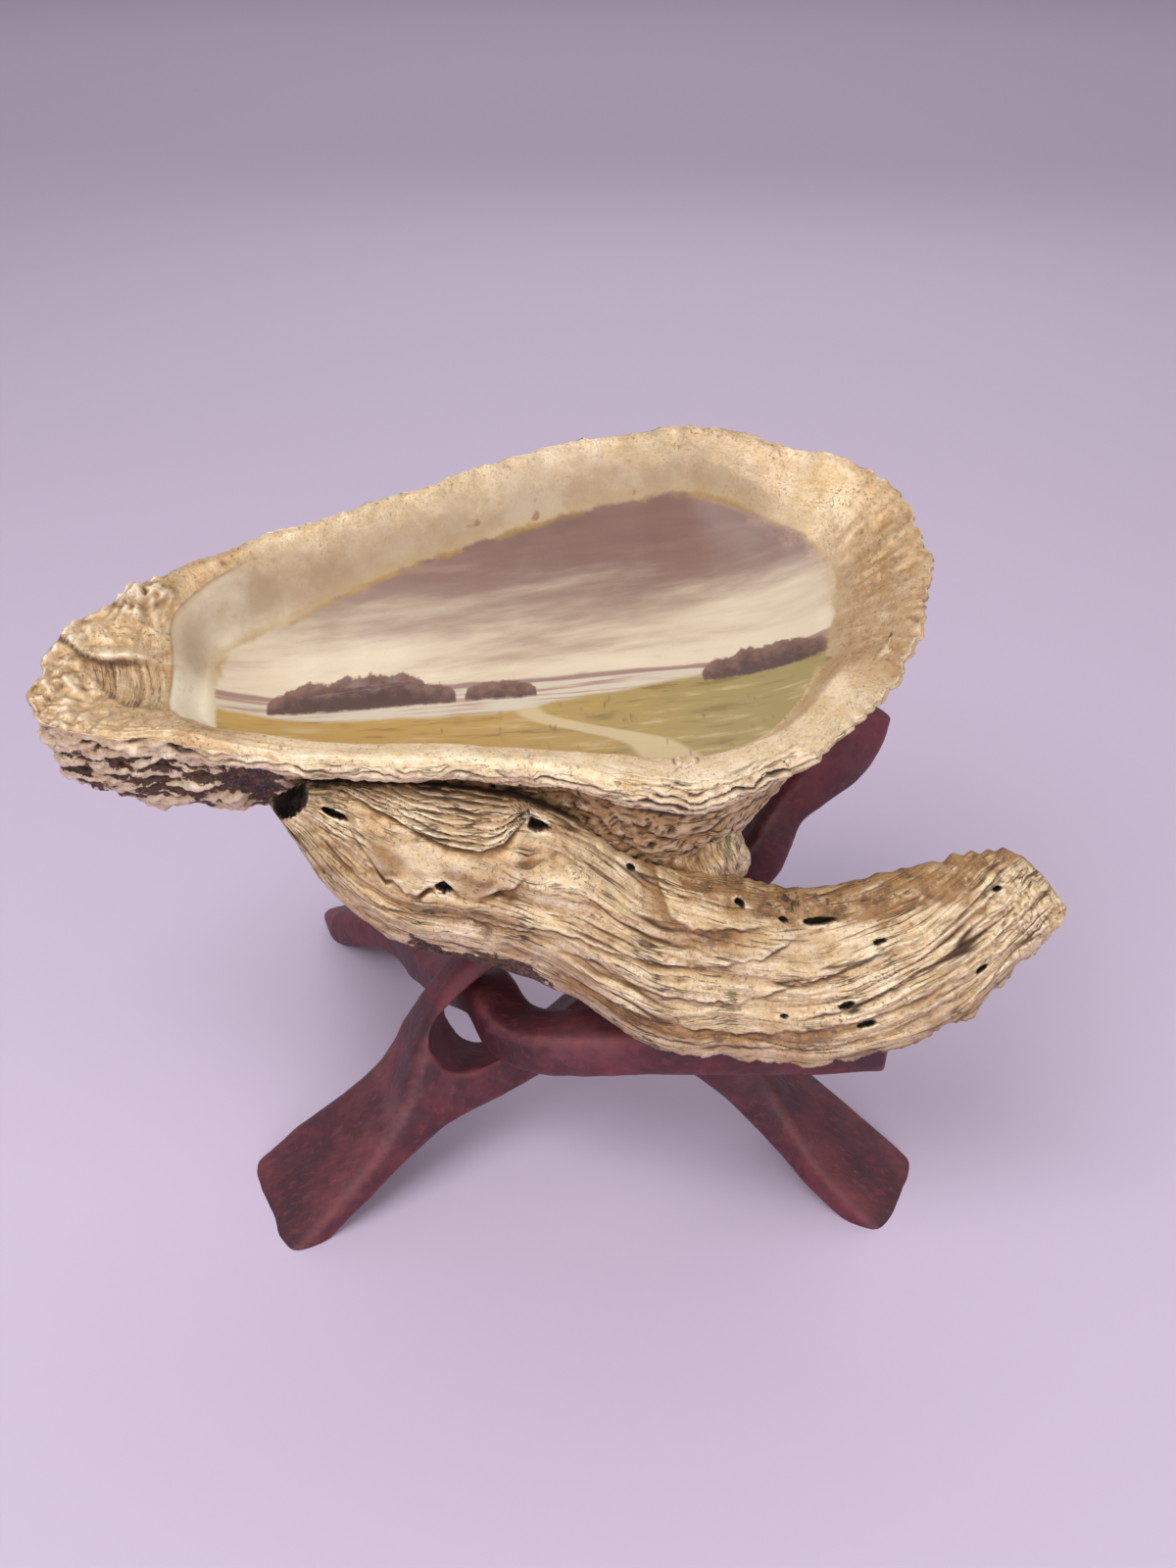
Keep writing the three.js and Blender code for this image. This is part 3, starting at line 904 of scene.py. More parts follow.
@dataclass
class UpperValve:
    """The upper valve: a tilted cup with a layered lip, a beak with a hinge plate and a ledged dome."""

    place: Triple = (-7.3, -18.5, 107.0)
    tilt: float = 26.0
    roll: float = 2.5
    turn: float = 6.0
    columns: int = 620
    rim_samples: int = 4001
    crowding: float = 0.45
    crowded_turn: float = 0.76
    floor_rings: int = 10
    wall_rings: int = 14
    band_rings: int = 42
    lip_rings: int = 30
    dome_rings: int = 60
    dome_spacing: float = 1.35
    floor_start: float = 0.97
    dome_end: float = 0.99
    scallop: float = 0.7
    # Waves of the rim: how many go round, where they start and how strong they are
    scallop_waves: tuple[Triple, ...] = ((23, 0.1, 0.5), (37, 0.4, 0.3), (11, 0.7, 0.2))
    tear_reach: float = 4.0
    lip_roll: float = 0.4
    lip_underside: float = 0.6
    band_crown: float = 0.8
    band_slope: float = 0.2
    wall_depth: float = 10.5
    bowl_depth: float = 17.0
    cup_floor: Line = ((-46, 32), (40, 36))
    ridge_ease: float = 25.0
    dome_depth: float = 33.0
    dome_crown: Line = ((-64, 28), (-16, 33))
    dome_squareness: tuple[float, float, float] = (2.9, 2.0, 45.0)
    dome_lift: float = 0.8
    rounding_passes: int = 90
    ledges: float = 12.0
    layer: float = 1.15
    plate_reach: float = 5.0
    plate_layer: float = 1.3
    tube: tuple[float, float] = (25.7, -1.9)
    paint_inset: float = 1.5
    paint_end: float = -64.5
    hinge_top: Line = ((-99, 43), (-93.2, 39), (-88, 34.3), (-85, 33), (-79, 33.6), (-70, 33.5))
    hinge_foot: Line = ((-99, 30), (-88, 29), (-85.3, 28), (-82.8, 24.4), (-79.9, 22.4), (-70, 21.2))
    hinge_bars: Line = (
        (-82.6, 0.9), (-79.4, 0.6), (-77.2, 1.0), (-75.6, 0.7), (-74.0, 0.9), (-72.4, 0.5))
    # Knobs of the crusty corner: along, across, height and spread
    knobs: tuple[tuple[float, float, float, float], ...] = ((-79, 47.5, 2.8, 20), (-73.5, 48, 1.5, 10))
    belly: float = 6.5
    pit_depth: float = 1.3
    seed: int = 11

    def axes(self) -> Array:
        """Directions along, across and up from the rim's plane, as rows."""
        return (rotation(2, self.turn) @ rotation(1, -self.roll) @ rotation(0, self.tilt)).T

    def rim(self) -> RimColumns:
        """Read the rim at every column, closer together along the near lip."""
        fine = np.linspace(0.0, 1.0, self.rim_samples)
        density = 1 + self.crowding * np.cos(2 * np.pi * (fine - self.crowded_turn))
        share = np.concatenate(((0.0,), np.cumsum((density[1:] + density[:-1]) / 2)))
        turn = np.interp(np.arange(self.columns) / self.columns, share / share[-1], fine)
        rows = rows_at(np.array(RIM, float), turn * len(RIM), True).T
        steps = np.hypot(np.diff(rows[0], prepend=rows[0, -1]), np.diff(rows[1], prepend=rows[1, -1]))
        return RimColumns(turn, *rows, np.cumsum(steps))

    def ridge(self, ends: Line, along: Array) -> tuple[Array, Array]:
        """Nearest points of a ridge line to the rim, softly held to the line's ends."""
        (ax, ay), (bx, by) = ends
        share = ramp(along, ax - self.ridge_ease, bx + self.ridge_ease)
        return lerp(ax, bx, share), lerp(ay, by, share)

    def build(self) -> Piece:
        """Make the valve's mesh.

        Returns:
            The piece, in place.
        """
        noise = GrownNoise(self.seed)
        rim = self.rim()
        uneven = 0.22 * noise.over(rim.length / 14, 2.0) + 0.12 * noise.over(rim.length / 5, 4.0)
        rim.lip = rim.lip * (1 + uneven * rim.calm())
        scallop = self.torn_rim(noise, rim)
        fx, fy = self.ridge(self.cup_floor, rim.along)
        cx, cy = self.ridge(self.dome_crown, rim.along)
        reach = np.hypot(fx - rim.along, fy - rim.across)
        dome_reach = np.hypot(cx - rim.along, cy - rim.across)

        def laid(distance: Array, height: Array, inside: bool) -> Array:
            """Points at a distance in from the rim."""
            ex, ey, far = (fx, fy, reach) if inside else (cx, cy, dome_reach)
            share = distance / far - scallop / far * np.exp(-np.clip(distance, 0, None) / self.tear_reach)
            flat = lerp(rim.along, ex, share), lerp(rim.across, ey, share)
            return np.stack(np.broadcast_arrays(*flat, height), axis=-1)

        floor, wall, band, lip, dome = (np.linspace(a, b, n, endpoint=False)[:, None] for a, b, n in (
            (self.floor_start, 0.0, self.floor_rings), (1.0, 0.0, self.wall_rings),
            (1.0, 0.0, self.band_rings), (0.0, 1.0, self.lip_rings), (0.0, self.dome_end, self.dome_rings)))
        dome = dome**self.dome_spacing
        edge = rim.band + rim.wall
        into = np.concatenate((lerp(edge, reach, floor), rim.band + rim.wall * wall, rim.band * band))
        floor_z = lerp(-self.wall_depth, -self.bowl_depth, 1 - (1 - floor) ** 2)
        wall_z = lerp(-self.band_slope * rim.band, -self.wall_depth, ramp(wall, 0, 1))
        band_z = self.band_crown * np.sin(np.pi * band) - self.band_slope * rim.band * band
        floor_z = np.broadcast_to(floor_z, (self.floor_rings, self.columns))
        # The right end and the far side fall to the floor without a break
        dish = ramp(rim.along, 36, 68) * ramp(rim.across, 4, 22)
        dish = np.maximum(dish, 0.6 * ramp(rim.across, 58, 72))
        wall_z = lerp(wall_z, -self.wall_depth * self.sag((rim.band + rim.wall * wall) / edge), dish)
        band_z = lerp(band_z, -self.wall_depth * self.sag(rim.band * band / edge), dish)
        inner = laid(into, np.concatenate((floor_z, wall_z, band_z)), True)
        lip_at, lip_z = self.lip_profile(rim, lip)
        dome_at, dome_z = self.dome_profile(rim, dome_reach, dome)
        outer = np.concatenate((laid(lip_at, lip_z, False), laid(dome_at, dome_z, False)))

        # Round the bowl where its columns crowd together behind the beak
        soft = 0.5 * ramp(np.minimum(rim.turn, 1 - rim.turn), 0.06, 0.01)[:, None]
        bowl = inner[:self.floor_rings + self.wall_rings]
        for _ in range(self.rounding_passes):
            bowl += soft * ((np.roll(bowl, 1, axis=1) + np.roll(bowl, -1, axis=1)) / 2 - bowl)
        height, marks = self.inside_relief(noise, rim, inner, into)
        outside, outer_marks = self.outside_relief(noise, rim, outer, lip, dome)
        grid = np.concatenate((inner, outer))
        height = np.concatenate((height, outside))
        marks = {mark: np.concatenate((values, outer_marks[mark])) for mark, values in marks.items()}
        normals = grid_normals(grid)
        normals *= np.sign(normals[0, 0, 2])
        grid = grid + height[..., None] * normals
        # Painted shade in the hollows of the relief and a painted highlight on its ridges
        marks[Mark.CREASE] = unit(np.maximum(marks[Mark.CREASE], 0.55 * cavity(height, 5, 0.6)))
        marks[Mark.RUB_AND_HIGHLIGHT] = np.maximum(marks[Mark.RUB_AND_HIGHLIGHT], crest(height, 8, 0.45))

        axes, place = self.axes(), np.array(self.place)
        ridges = ((self.cup_floor, -self.bowl_depth), (self.dome_crown, -self.dome_depth))
        ends = [np.array((*np.mean(ridge, axis=0), depth)) @ axes + place for ridge, depth in ridges]
        return skin("upper_valve", grid @ axes + place, (ends[0], ends[1]), marks)

    def sag(self, share: Array) -> Array:
        """Fall of a side that runs from the rim to the floor without a break, 0 to 1."""
        return 0.4 * share + 0.6 * ramp(share, 0, 1)

    def torn_rim(self, noise: GrownNoise, rim: RimColumns) -> Array:
        """How far the rim's edge stands out at each column: scallops, tears and the notch in the beak."""
        grown = sum(w * np.sin(2 * np.pi * (n * rim.turn + s)) for n, s, w in self.scallop_waves)
        fine = noise.over(rim.length / 2.6, 0.3) * 0.4 + noise.over(rim.length / 1.3, 5.3) * 0.3
        far = ramp(rim.across, 20, 50) * ramp(rim.along, -60, -30)
        right = ramp(rim.along, 30, 65)
        notch = 1.8 * bell(rim.across, 30.5, 2.2) * ramp(rim.along, -88, -95)
        return self.scallop * grown + fine * rim.calm() * (0.8 + 1.1 * far + 1.3 * right) - notch

    def lip_profile(self, rim: RimColumns, share: Array) -> tuple[Array, Array]:
        """Distance in from the rim and height, down the face of the lip."""
        knots = (0.0, 0.4, 0.85, 1.0)
        weights = [np.interp(share, knots, row) for row in np.eye(4)]
        distance = weights[1] * -self.lip_roll + weights[2] * self.lip_roll + weights[3] * rim.overhang
        under = rim.lip + self.lip_underside
        drop = weights[1] * 0.5 * rim.lip + weights[2] * rim.lip + weights[3] * under
        return distance, -drop

    def dome_profile(self, rim: RimColumns, reach: Array, share: Array) -> tuple[Array, Array]:
        """Distance in from the rim and height, from under the lip to the crown of the dome."""
        near, far, change = self.dome_squareness
        rounder = np.maximum(ramp(rim.across, 0, change), ramp(rim.along, 36, 58))
        power = 2 / lerp(near, far, rounder)
        angle = 0.5 * np.pi * share
        inward = 1 - np.cos(angle) ** power
        lift = self.dome_lift * ramp(share, 0, 0.1)
        under = -rim.lip - self.lip_underside
        distance = lerp(rim.overhang, reach, inward) - lift
        return distance, lerp(under, -self.dome_depth, np.sin(angle) ** power)

    def inside_relief(
        self, noise: GrownNoise, rim: RimColumns, grid: Array, into: Array
    ) -> tuple[Array, dict[Mark, Array]]:
        """Relief and surface values of the cup's inside, its gilded band and the hinge plate.

        Args:
            noise: Unevenness of the shell.
            rim: The rim's columns.
            grid: Points of the inside, in the valve's frame.
            into: Distance in from the rim.

        Returns:
            Height above the plain form, and the values for the finish.
        """
        left = ramp(rim.along, -50, -64)
        calm = rim.calm()
        on_band = ramp(into, rim.band + 2, rim.band - 1)
        height = 0.35 * noise.at(grid / 17) + 0.12 * noise.at(grid / 6)
        # Folds across the right end
        right_end = ramp(rim.along, 52, 74) * window(rim.across, 2, 18, 54, 72)
        spread = np.sin(np.pi * np.clip(into / (rim.band + 0.6 * rim.wall), 0.03, 1)) ** 0.7
        folds = 1.3 * noise.over(rim.length / 3.4 + 0.06 * into, into / 9, 2.0)
        folds = folds + 0.6 * noise.over(rim.length / 1.3 + 0.06 * into, into / 5, 6.0)
        height = height + calm * (0.04 + 0.3 * right_end) * spread * folds
        # Growth lines of the band, and torn plates along its near edge
        crumple = 0.4 * noise.over(rim.length / 2.2, into / 2.5, 8.0) * bell(into, 0, 2.6) * (1 - left)
        sway = 0.8 * calm * noise.over(rim.length / 22, 0.0, 3.0)
        flow = noise.lines(into + sway, rim.length, 1.4, 20, 4.0)
        near = ramp(rim.across, 34, 18) * ramp(rim.along, 66, 44) * (1 - 0.4 * left) * calm
        flowing = 1 + 3.5 * ramp(rim.along, -30, -52) * ramp(into, 7, 4)
        height = height + on_band * (near * 0.1 * flowing * flow + 0.8 * crumple)
        torn = window(rim.along, 4, 28, 40, 52) * ramp(rim.across, 16, 4)
        plates = (self.plate_reach - into) / self.plate_layer + 0.9 * noise.over(rim.length / 9, 21.0)
        plates = plates + 0.5 * noise.over(rim.length / 3, 23.0)
        bold = np.clip(0.8 + noise.over(rim.length / 6, np.floor(plates) * 2.9), 0.1, 1.3)
        bold = noise.strength(plates, 0.3) * bold
        on_edge = torn * ramp(into, self.plate_reach, 3.8)
        height = height + 1.1 * on_edge * bold * (ledge(plates, 0.2) - 0.6)
        height = height - near * (1.1 + 2.4 * torn) * unit(1 - into / (3.0 + 2.0 * torn)) ** 1.7
        # Darkening: painted shade in the low flow lines and under the torn plates' edges, and a dark line
        # along the wall's border on the left
        crease = on_band * near * unit(-flow - 0.6) * 0.2 * flowing
        crease = np.maximum(crease, on_edge * unit(1.5 * bold * shadow_under_edge(plates, 0.2) - 0.25))
        crease = np.maximum(crease, 0.3 * left * bell(into, rim.band, 0.4))
        # Mouth of a small tube in the near edge
        tube = np.hypot(grid[..., 0] - self.tube[0], grid[..., 1] - self.tube[1])
        tube_open = ramp(grid[..., 1], -3.6, -2.4)
        height = height + 0.55 * bell(tube, 1.5, 0.5) * tube_open
        # Painted shade around the mouth of the tube
        crease = np.maximum(crease, 0.5 * bell(tube, 2.3, 0.3) * tube_open)

        plate_height, plate_shade, stain, hollow, bent = self.hinge_plate(noise, grid)
        height = height + plate_height
        # Where the gilding fades out and the paint begins
        edge = rim.band + rim.wall
        far_fade = lerp(0.4, 6.5, ramp(rim.across, 30, 50) * (1 - left))
        fade = np.maximum(far_fade, 3.5 * ramp(rim.along, 50, 66) * ramp(rim.across, 6, 24))
        gold_near = ramp(rim.across, 20, 12) * ramp(rim.along, -80, -66)
        gold_wall = rim.wall * np.maximum(0.5 * ramp(rim.along, 44, 70), gold_near)
        aged = 0.3 * right_end + 0.14 * ramp(rim.along, 30, 60)
        aged = aged + 0.38 * left + 0.1 * noise.at(grid / 9)
        marks = {Mark.CREASE: np.maximum(crease, plate_shade), Mark.BROWN: np.maximum(stain, aged)}
        # Painted highlight along the near band
        marks |= {Mark.BARE: 0 * stain, Mark.RUB_AND_HIGHLIGHT: 0.18 * on_band * near}
        marks[Mark.GILT] = (rim.band + gold_wall - into) / fade
        far_left = ramp(grid[..., 0], -22, -58) * ramp(rim.across, 36, 48)
        marks[Mark.PAINTED] = np.minimum(
            into - edge + self.paint_inset - 3.0 * far_left, grid[..., 0] - self.paint_end)
        barred = hollow > TINY
        marks[Mark.ACROSS] = np.where(barred, 1.2 * bent, into + sway)
        marks[Mark.ALONG] = np.where(barred, grid[..., 1], rim.length)
        lined = on_band * np.maximum(0.22 * near + 0.5 * on_edge, 0.15 * (1 - left))
        marks[Mark.LINED] = np.where(barred, hollow, lined * (1 - left))
        return height, marks

    def hinge_plate(self, noise: GrownNoise, grid: Array) -> tuple[Array, Array, Array, Array, Array]:
        """Relief of the hinge plate: shoulder, crossed hollow, crusty corner and beak.

        Args:
            noise: Unevenness of the shell.
            grid: Points of the inside, in the valve's frame.

        Returns:
            Height above the plain form, painted shade of its creases, brownness with painted shade under the
            shoulder's step, the hollow and the place across its bars.
        """
        u, v = grid[..., 0], grid[..., 1]
        plate = ramp(u, -66, -71)
        crusty = noise.fractal(grid / 3.0, 3)
        sandy = noise.fractal(grid / 1.5 + 9, 2)
        top = curve_at(self.hinge_top, u)
        foot = curve_at(self.hinge_foot, u)
        above = v - top + 0.35 * crusty
        shoulder = 1.8 * ramp(above, -0.8, 0.8) * np.exp(-np.clip(above, 0, None) / 7)
        shoulder = shoulder * lerp(0.25, 1.0, ramp(u, -72, -82))
        hollow = ramp(v, top + 0.3, top - 1.0) * ramp(v, foot - 0.8, foot + 1.6)
        hollow = hollow * ramp(u, -89, -84)
        bent = u + 0.03 * (v - 28) ** 2 + 0.25 * noise.at(grid / 2)
        bars = sum(depth * bell(bent, at, 0.4) for at, depth in self.hinge_bars)
        corner = sum(high * np.exp(-((u - a) ** 2 + (v - b) ** 2) / size) for a, b, high, size in self.knobs)
        corner = corner * (1 + 0.7 * crusty + 0.3 * sandy)
        tip = ramp(u, -82, -92)
        lumps = tip * (1 - hollow) * (0.75 * noise.at(grid / 5.5) + 0.7 * crusty + 0.25 * sandy)
        crust = (0.3 * crusty + 0.16 * sandy) * (1 - 0.8 * hollow) * ramp(u, -66, -76)
        height = plate * (shoulder - hollow * (0.7 + 0.35 * bars) + corner + lumps + crust)
        # Painted shade: a dark line under the shoulder's step and dark lows in the crust of the tip; the
        # bars of the hollow are dark lines of their own
        step = bell(above, -0.3, 0.4) * ramp(u, -74, -82)
        crease = np.maximum(0.62 * step, 0.34 * hollow * unit(bars))
        crease = np.maximum(crease, 0.4 * tip * unit(-crusty - 0.35))
        # Brown along the trough's lower border, in the hollow and in the tip's lows, and a brown painted
        # shadow under the shoulder's step
        lower_border = bell(v - foot, 0, 0.8) * ramp(u, -88, -84)
        shade_under_step = bell(v - top, -0.8, 1.4) * ramp(u, -88, -80)
        stain = 0.45 * np.maximum(lower_border, 0.7 * shade_under_step) + 0.12 * hollow
        stain = stain + 0.2 * tip * unit(0.5 - crusty)
        return height, plate * crease, plate * stain, plate * hollow, bent

    def outside_relief(
        self, noise: GrownNoise, rim: RimColumns, grid: Array, lip: Array, dome: Array
    ) -> tuple[Array, dict[Mark, Array]]:
        """Relief and surface values of the lip and the dome.

        Args:
            noise: Unevenness of the shell.
            rim: The rim's columns.
            grid: Points of the outside, in the valve's frame.
            lip: Shares down the lip.
            dome: Shares down the dome.

        Returns:
            Height above the plain form, and the values for the finish.
        """
        count = len(lip)
        beside = ramp(rim.across, 60, 40)
        front = ramp(rim.across, 34, 10) * (1 - beside * ramp(rim.along, -47, -57))
        later = 14 * ramp(np.concatenate((lip, 1 + dome)), 0.75, 0.35)
        beak = beside * ramp(rim.along + later, -47, -57)
        layers = 1 - 0.85 * ramp(rim.along, 42, 54)
        torn = ramp(rim.along, -5, 25) * front * layers
        # Thin layers of the lip
        sway = 1.3 * noise.over(rim.length / 13, 1.0) + 0.6 * noise.over(rim.length / 4, 7.0)
        lines = lip * rim.lip / self.layer + sway
        layer = np.floor(lines)
        bold = np.clip(0.9 + 1.1 * noise.over(rim.length / 8, layer * 3.1), 0.15, 1.3)
        bold = layers * noise.strength(lines, 0.6) * bold
        stick_out = 0.5 * noise.over(rim.length / 6, layer * 2.3, 4.0)
        stick_out = stick_out + 0.5 * torn * noise.over(rim.length / 2, layer, 6.0)
        layered = bold * (1.1 * (ledge(lines) - 0.5) + stick_out)
        layered = layered + 0.15 * noise.over(rim.length / 1.2, lines * 0.7, 2.0)
        ease = ramp(lip, 0, 0.16)
        rounding = (0.9 + 1.6 * torn) * unit(1 - lip / (0.3 + 0.3 * torn)) ** 2
        layered = layered * ease - (1 - beak[:count]) * rounding * ramp(rim.across, 34, 18)
        # Painted shadow under the free edge of each layer
        lip_edge_shadow = unit(shadow_under_edge(lines, 0.25) * bold * (1.5 + 0.8 * torn) - 0.15) * ease

        # Ledges of the dome
        whole = np.concatenate((lip * 0, dome))
        warp = 0.8 * noise.at(grid / 17) + 0.35 * noise.at(grid / 5.5)
        ledge_lines = self.ledges * whole**0.85 + warp
        step_bold = noise.strength(ledge_lines, 0.35)
        step = lerp(1.8, 0.9, front) * step_bold
        fine_lines = 3.1 * ledge_lines + 0.5 * noise.at(grid / 3)
        ledged = step * (ledge(ledge_lines) - 0.5) + 0.35 * (ledge(fine_lines) - 0.5)
        ledged = ledged + lerp(0.45, 0.2, front) * noise.fractal(grid / 5, 3)
        # Painted shadow under each ledge
        dome_edge_shadow = shadow_under_edge(ledge_lines, 0.12) * step_bold * 0.9
        dome_edge_shadow = unit(dome_edge_shadow + lerp(0.55, 1.0, front) * shadow_under_edge(fine_lines) - 0.2)
        # Painted shadow under the near lip's overhang
        under_lip = front * layers * ramp(dome, 0.022, 0.005)

        # Slanting ridges of the beak, with one bare patch
        depth = -grid[..., 2]
        slant = depth + 0.22 * grid[..., 0] + 1.2 * noise.at(grid / 9)
        ridges = noise.lines(slant, grid[..., 0], 2.3, 3.2, 9.0)
        ridges = ridges + 0.5 * noise.lines(slant, grid[..., 0], 1.1, 3.0, 3.0)
        rough = 1.5 * ridges + 0.8 * noise.at(grid / 6.5) + 0.5 * noise.fractal(grid / 1.7, 2)
        patch = np.exp(-((grid[..., 0] + 55.5) ** 2 / 34 + (depth - 10) ** 2 / 30))
        patch = patch * ramp(rim.across, 24, 14)
        rough = rough * (1 - 0.85 * patch)
        fade_in = np.concatenate((ease, np.ones_like(dome)))
        belly = self.belly * bell(rim.along, 24, 22) * front * np.sin(np.pi * unit(dome / 0.8)) ** 0.75
        height = np.concatenate((layered, belly + ledged[count:] * ramp(dome, 0, 0.06)))
        height = lerp(height, rough * fade_in, beak)
        crease = np.concatenate((lip_edge_shadow, np.maximum(dome_edge_shadow[count:], under_lip)))
        # Painted shade in the low parts of the beak's rough ridges
        crease = lerp(crease, unit(-rough * 1.2 - 0.2) * fade_in * (1 - patch), beak)
        # Holes, with painted shade in them
        pits = unit((noise.at(grid / 1.8 + 40) - 0.48) / 0.15) * front * ramp(whole, 0.02, 0.1)
        height = height - self.pit_depth * pits
        crease = np.maximum(crease, pits)

        gaps = 0.6 * unit(-rough - 0.1) - 0.55 * np.clip(rough, 0, 1.2)
        bare = beak * unit(0.58 * ramp(depth, 2, 9) + 1.2 * patch + (1 - patch) * gaps)
        bare = np.maximum(bare, 0.4 * ramp(whole, 0.45, 0.8) * (1 - front))
        # Brown on the dome: deeper under the left of the near lip, where it is painted shade as well as the
        # shell's brown, and more further down the dome
        worn = lerp(0.6, 0.34, ramp(rim.along, 12, 40))
        worn = np.where(np.arange(len(whole))[:, None] < count, 0.12, worn)
        brown = np.maximum(front * worn, 0.4 * whole) + 0.14 * beak
        marks = {Mark.CREASE: crease, Mark.RUB_AND_HIGHLIGHT: 0 * crease, Mark.BARE: bare, Mark.BROWN: brown}
        marks[Mark.GILT] = np.full(whole.shape[:1] + rim.turn.shape, 8.0)
        marks[Mark.PAINTED] = -20.0 + 0 * marks[Mark.GILT]
        across = np.concatenate((lines * self.layer, rim.lip + 45 * dome))
        marks[Mark.ACROSS] = across + 1.5 * noise.at(grid / 8)
        marks[Mark.ALONG] = rim.length + 0 * marks[Mark.GILT]
        marks[Mark.LINED] = lerp(np.concatenate((0.8 + 0 * lip, 1.1 + 0 * dome)), 0.0, beak)
        return height, marks


# Lower valve, from its pinched left end to the tip of its tongue: top edge, bottom edge,
# bulge to the front and bulge to the back
LOWER = (
    (-61.4, -16, 96.5, -61.2, -16.7, 95.5, 0, 0),
    (-56.6, -14.4, 99, -55.9, -22, 90.5, 2, 10),
    (-49, -13.3, 101, -48.5, -24.4, 79, 4, 18),
    (-37.6, -14.1, 101, -36.6, -25.7, 69, 6, 22),
    (-22.6, -14.9, 100, -21.5, -25.5, 64, 7, 24),
    (-5.7, -15.5, 97, -3.9, -28.1, 58, 7, 24),
    (9.5, -17.9, 90, 12.5, -35.5, 51, 6, 20),
    (24.7, -20.9, 84, 27.9, -37.8, 50, 5, 14),
    (42.3, -20.8, 79, 48, -39.2, 50, 5, 9),
    (63.6, -17.8, 82, 69.6, -37.1, 57, 5, 8),
    (81.7, -19.6, 87, 85.6, -30.3, 69, 4, 6),
    (91.6, -28.2, 80, 91.6, -28.8, 78, 0, 0),
)


@dataclass(frozen=True)
class Pit:
    """A hole in the lower valve's face.

    It lies at a station and a share down. Its half length, half height and depth are in millimetres,
    and its taper, 0 to 1, narrows it to the right.
    """

    station: float
    share: float
    length: float
    height: float
    depth: float
    taper: float = 0.0


@dataclass(frozen=True)
class GrowthEdge:
    """A free edge that stands proud of the face: its line by station and share, its step and its reach."""

    line: Line
    step: float
    reach: float


@dataclass
class Face:
    """Places on one side of the lower valve, and the unevenness of its shell.

    The station is the place along the valve and run is the same in millimetres. Tall is the height at each
    station, seen is the share down the plain form and deep is the same in millimetres.
    """

    noise: GrownNoise
    station: Array
    run: Array
    tall: Array
    seen: Array
    deep: Array

    def rough(self, along: float, down: float, layer: float) -> Array:
        """Noise with cells of a length and a height in millimetres."""
        return self.noise.over(self.run / along, self.deep / down, layer)

    def under(self, line: Line) -> Array:
        """Distance in millimetres down from a line across the face."""
        return (self.seen - curve_at(line, self.station)) * self.tall


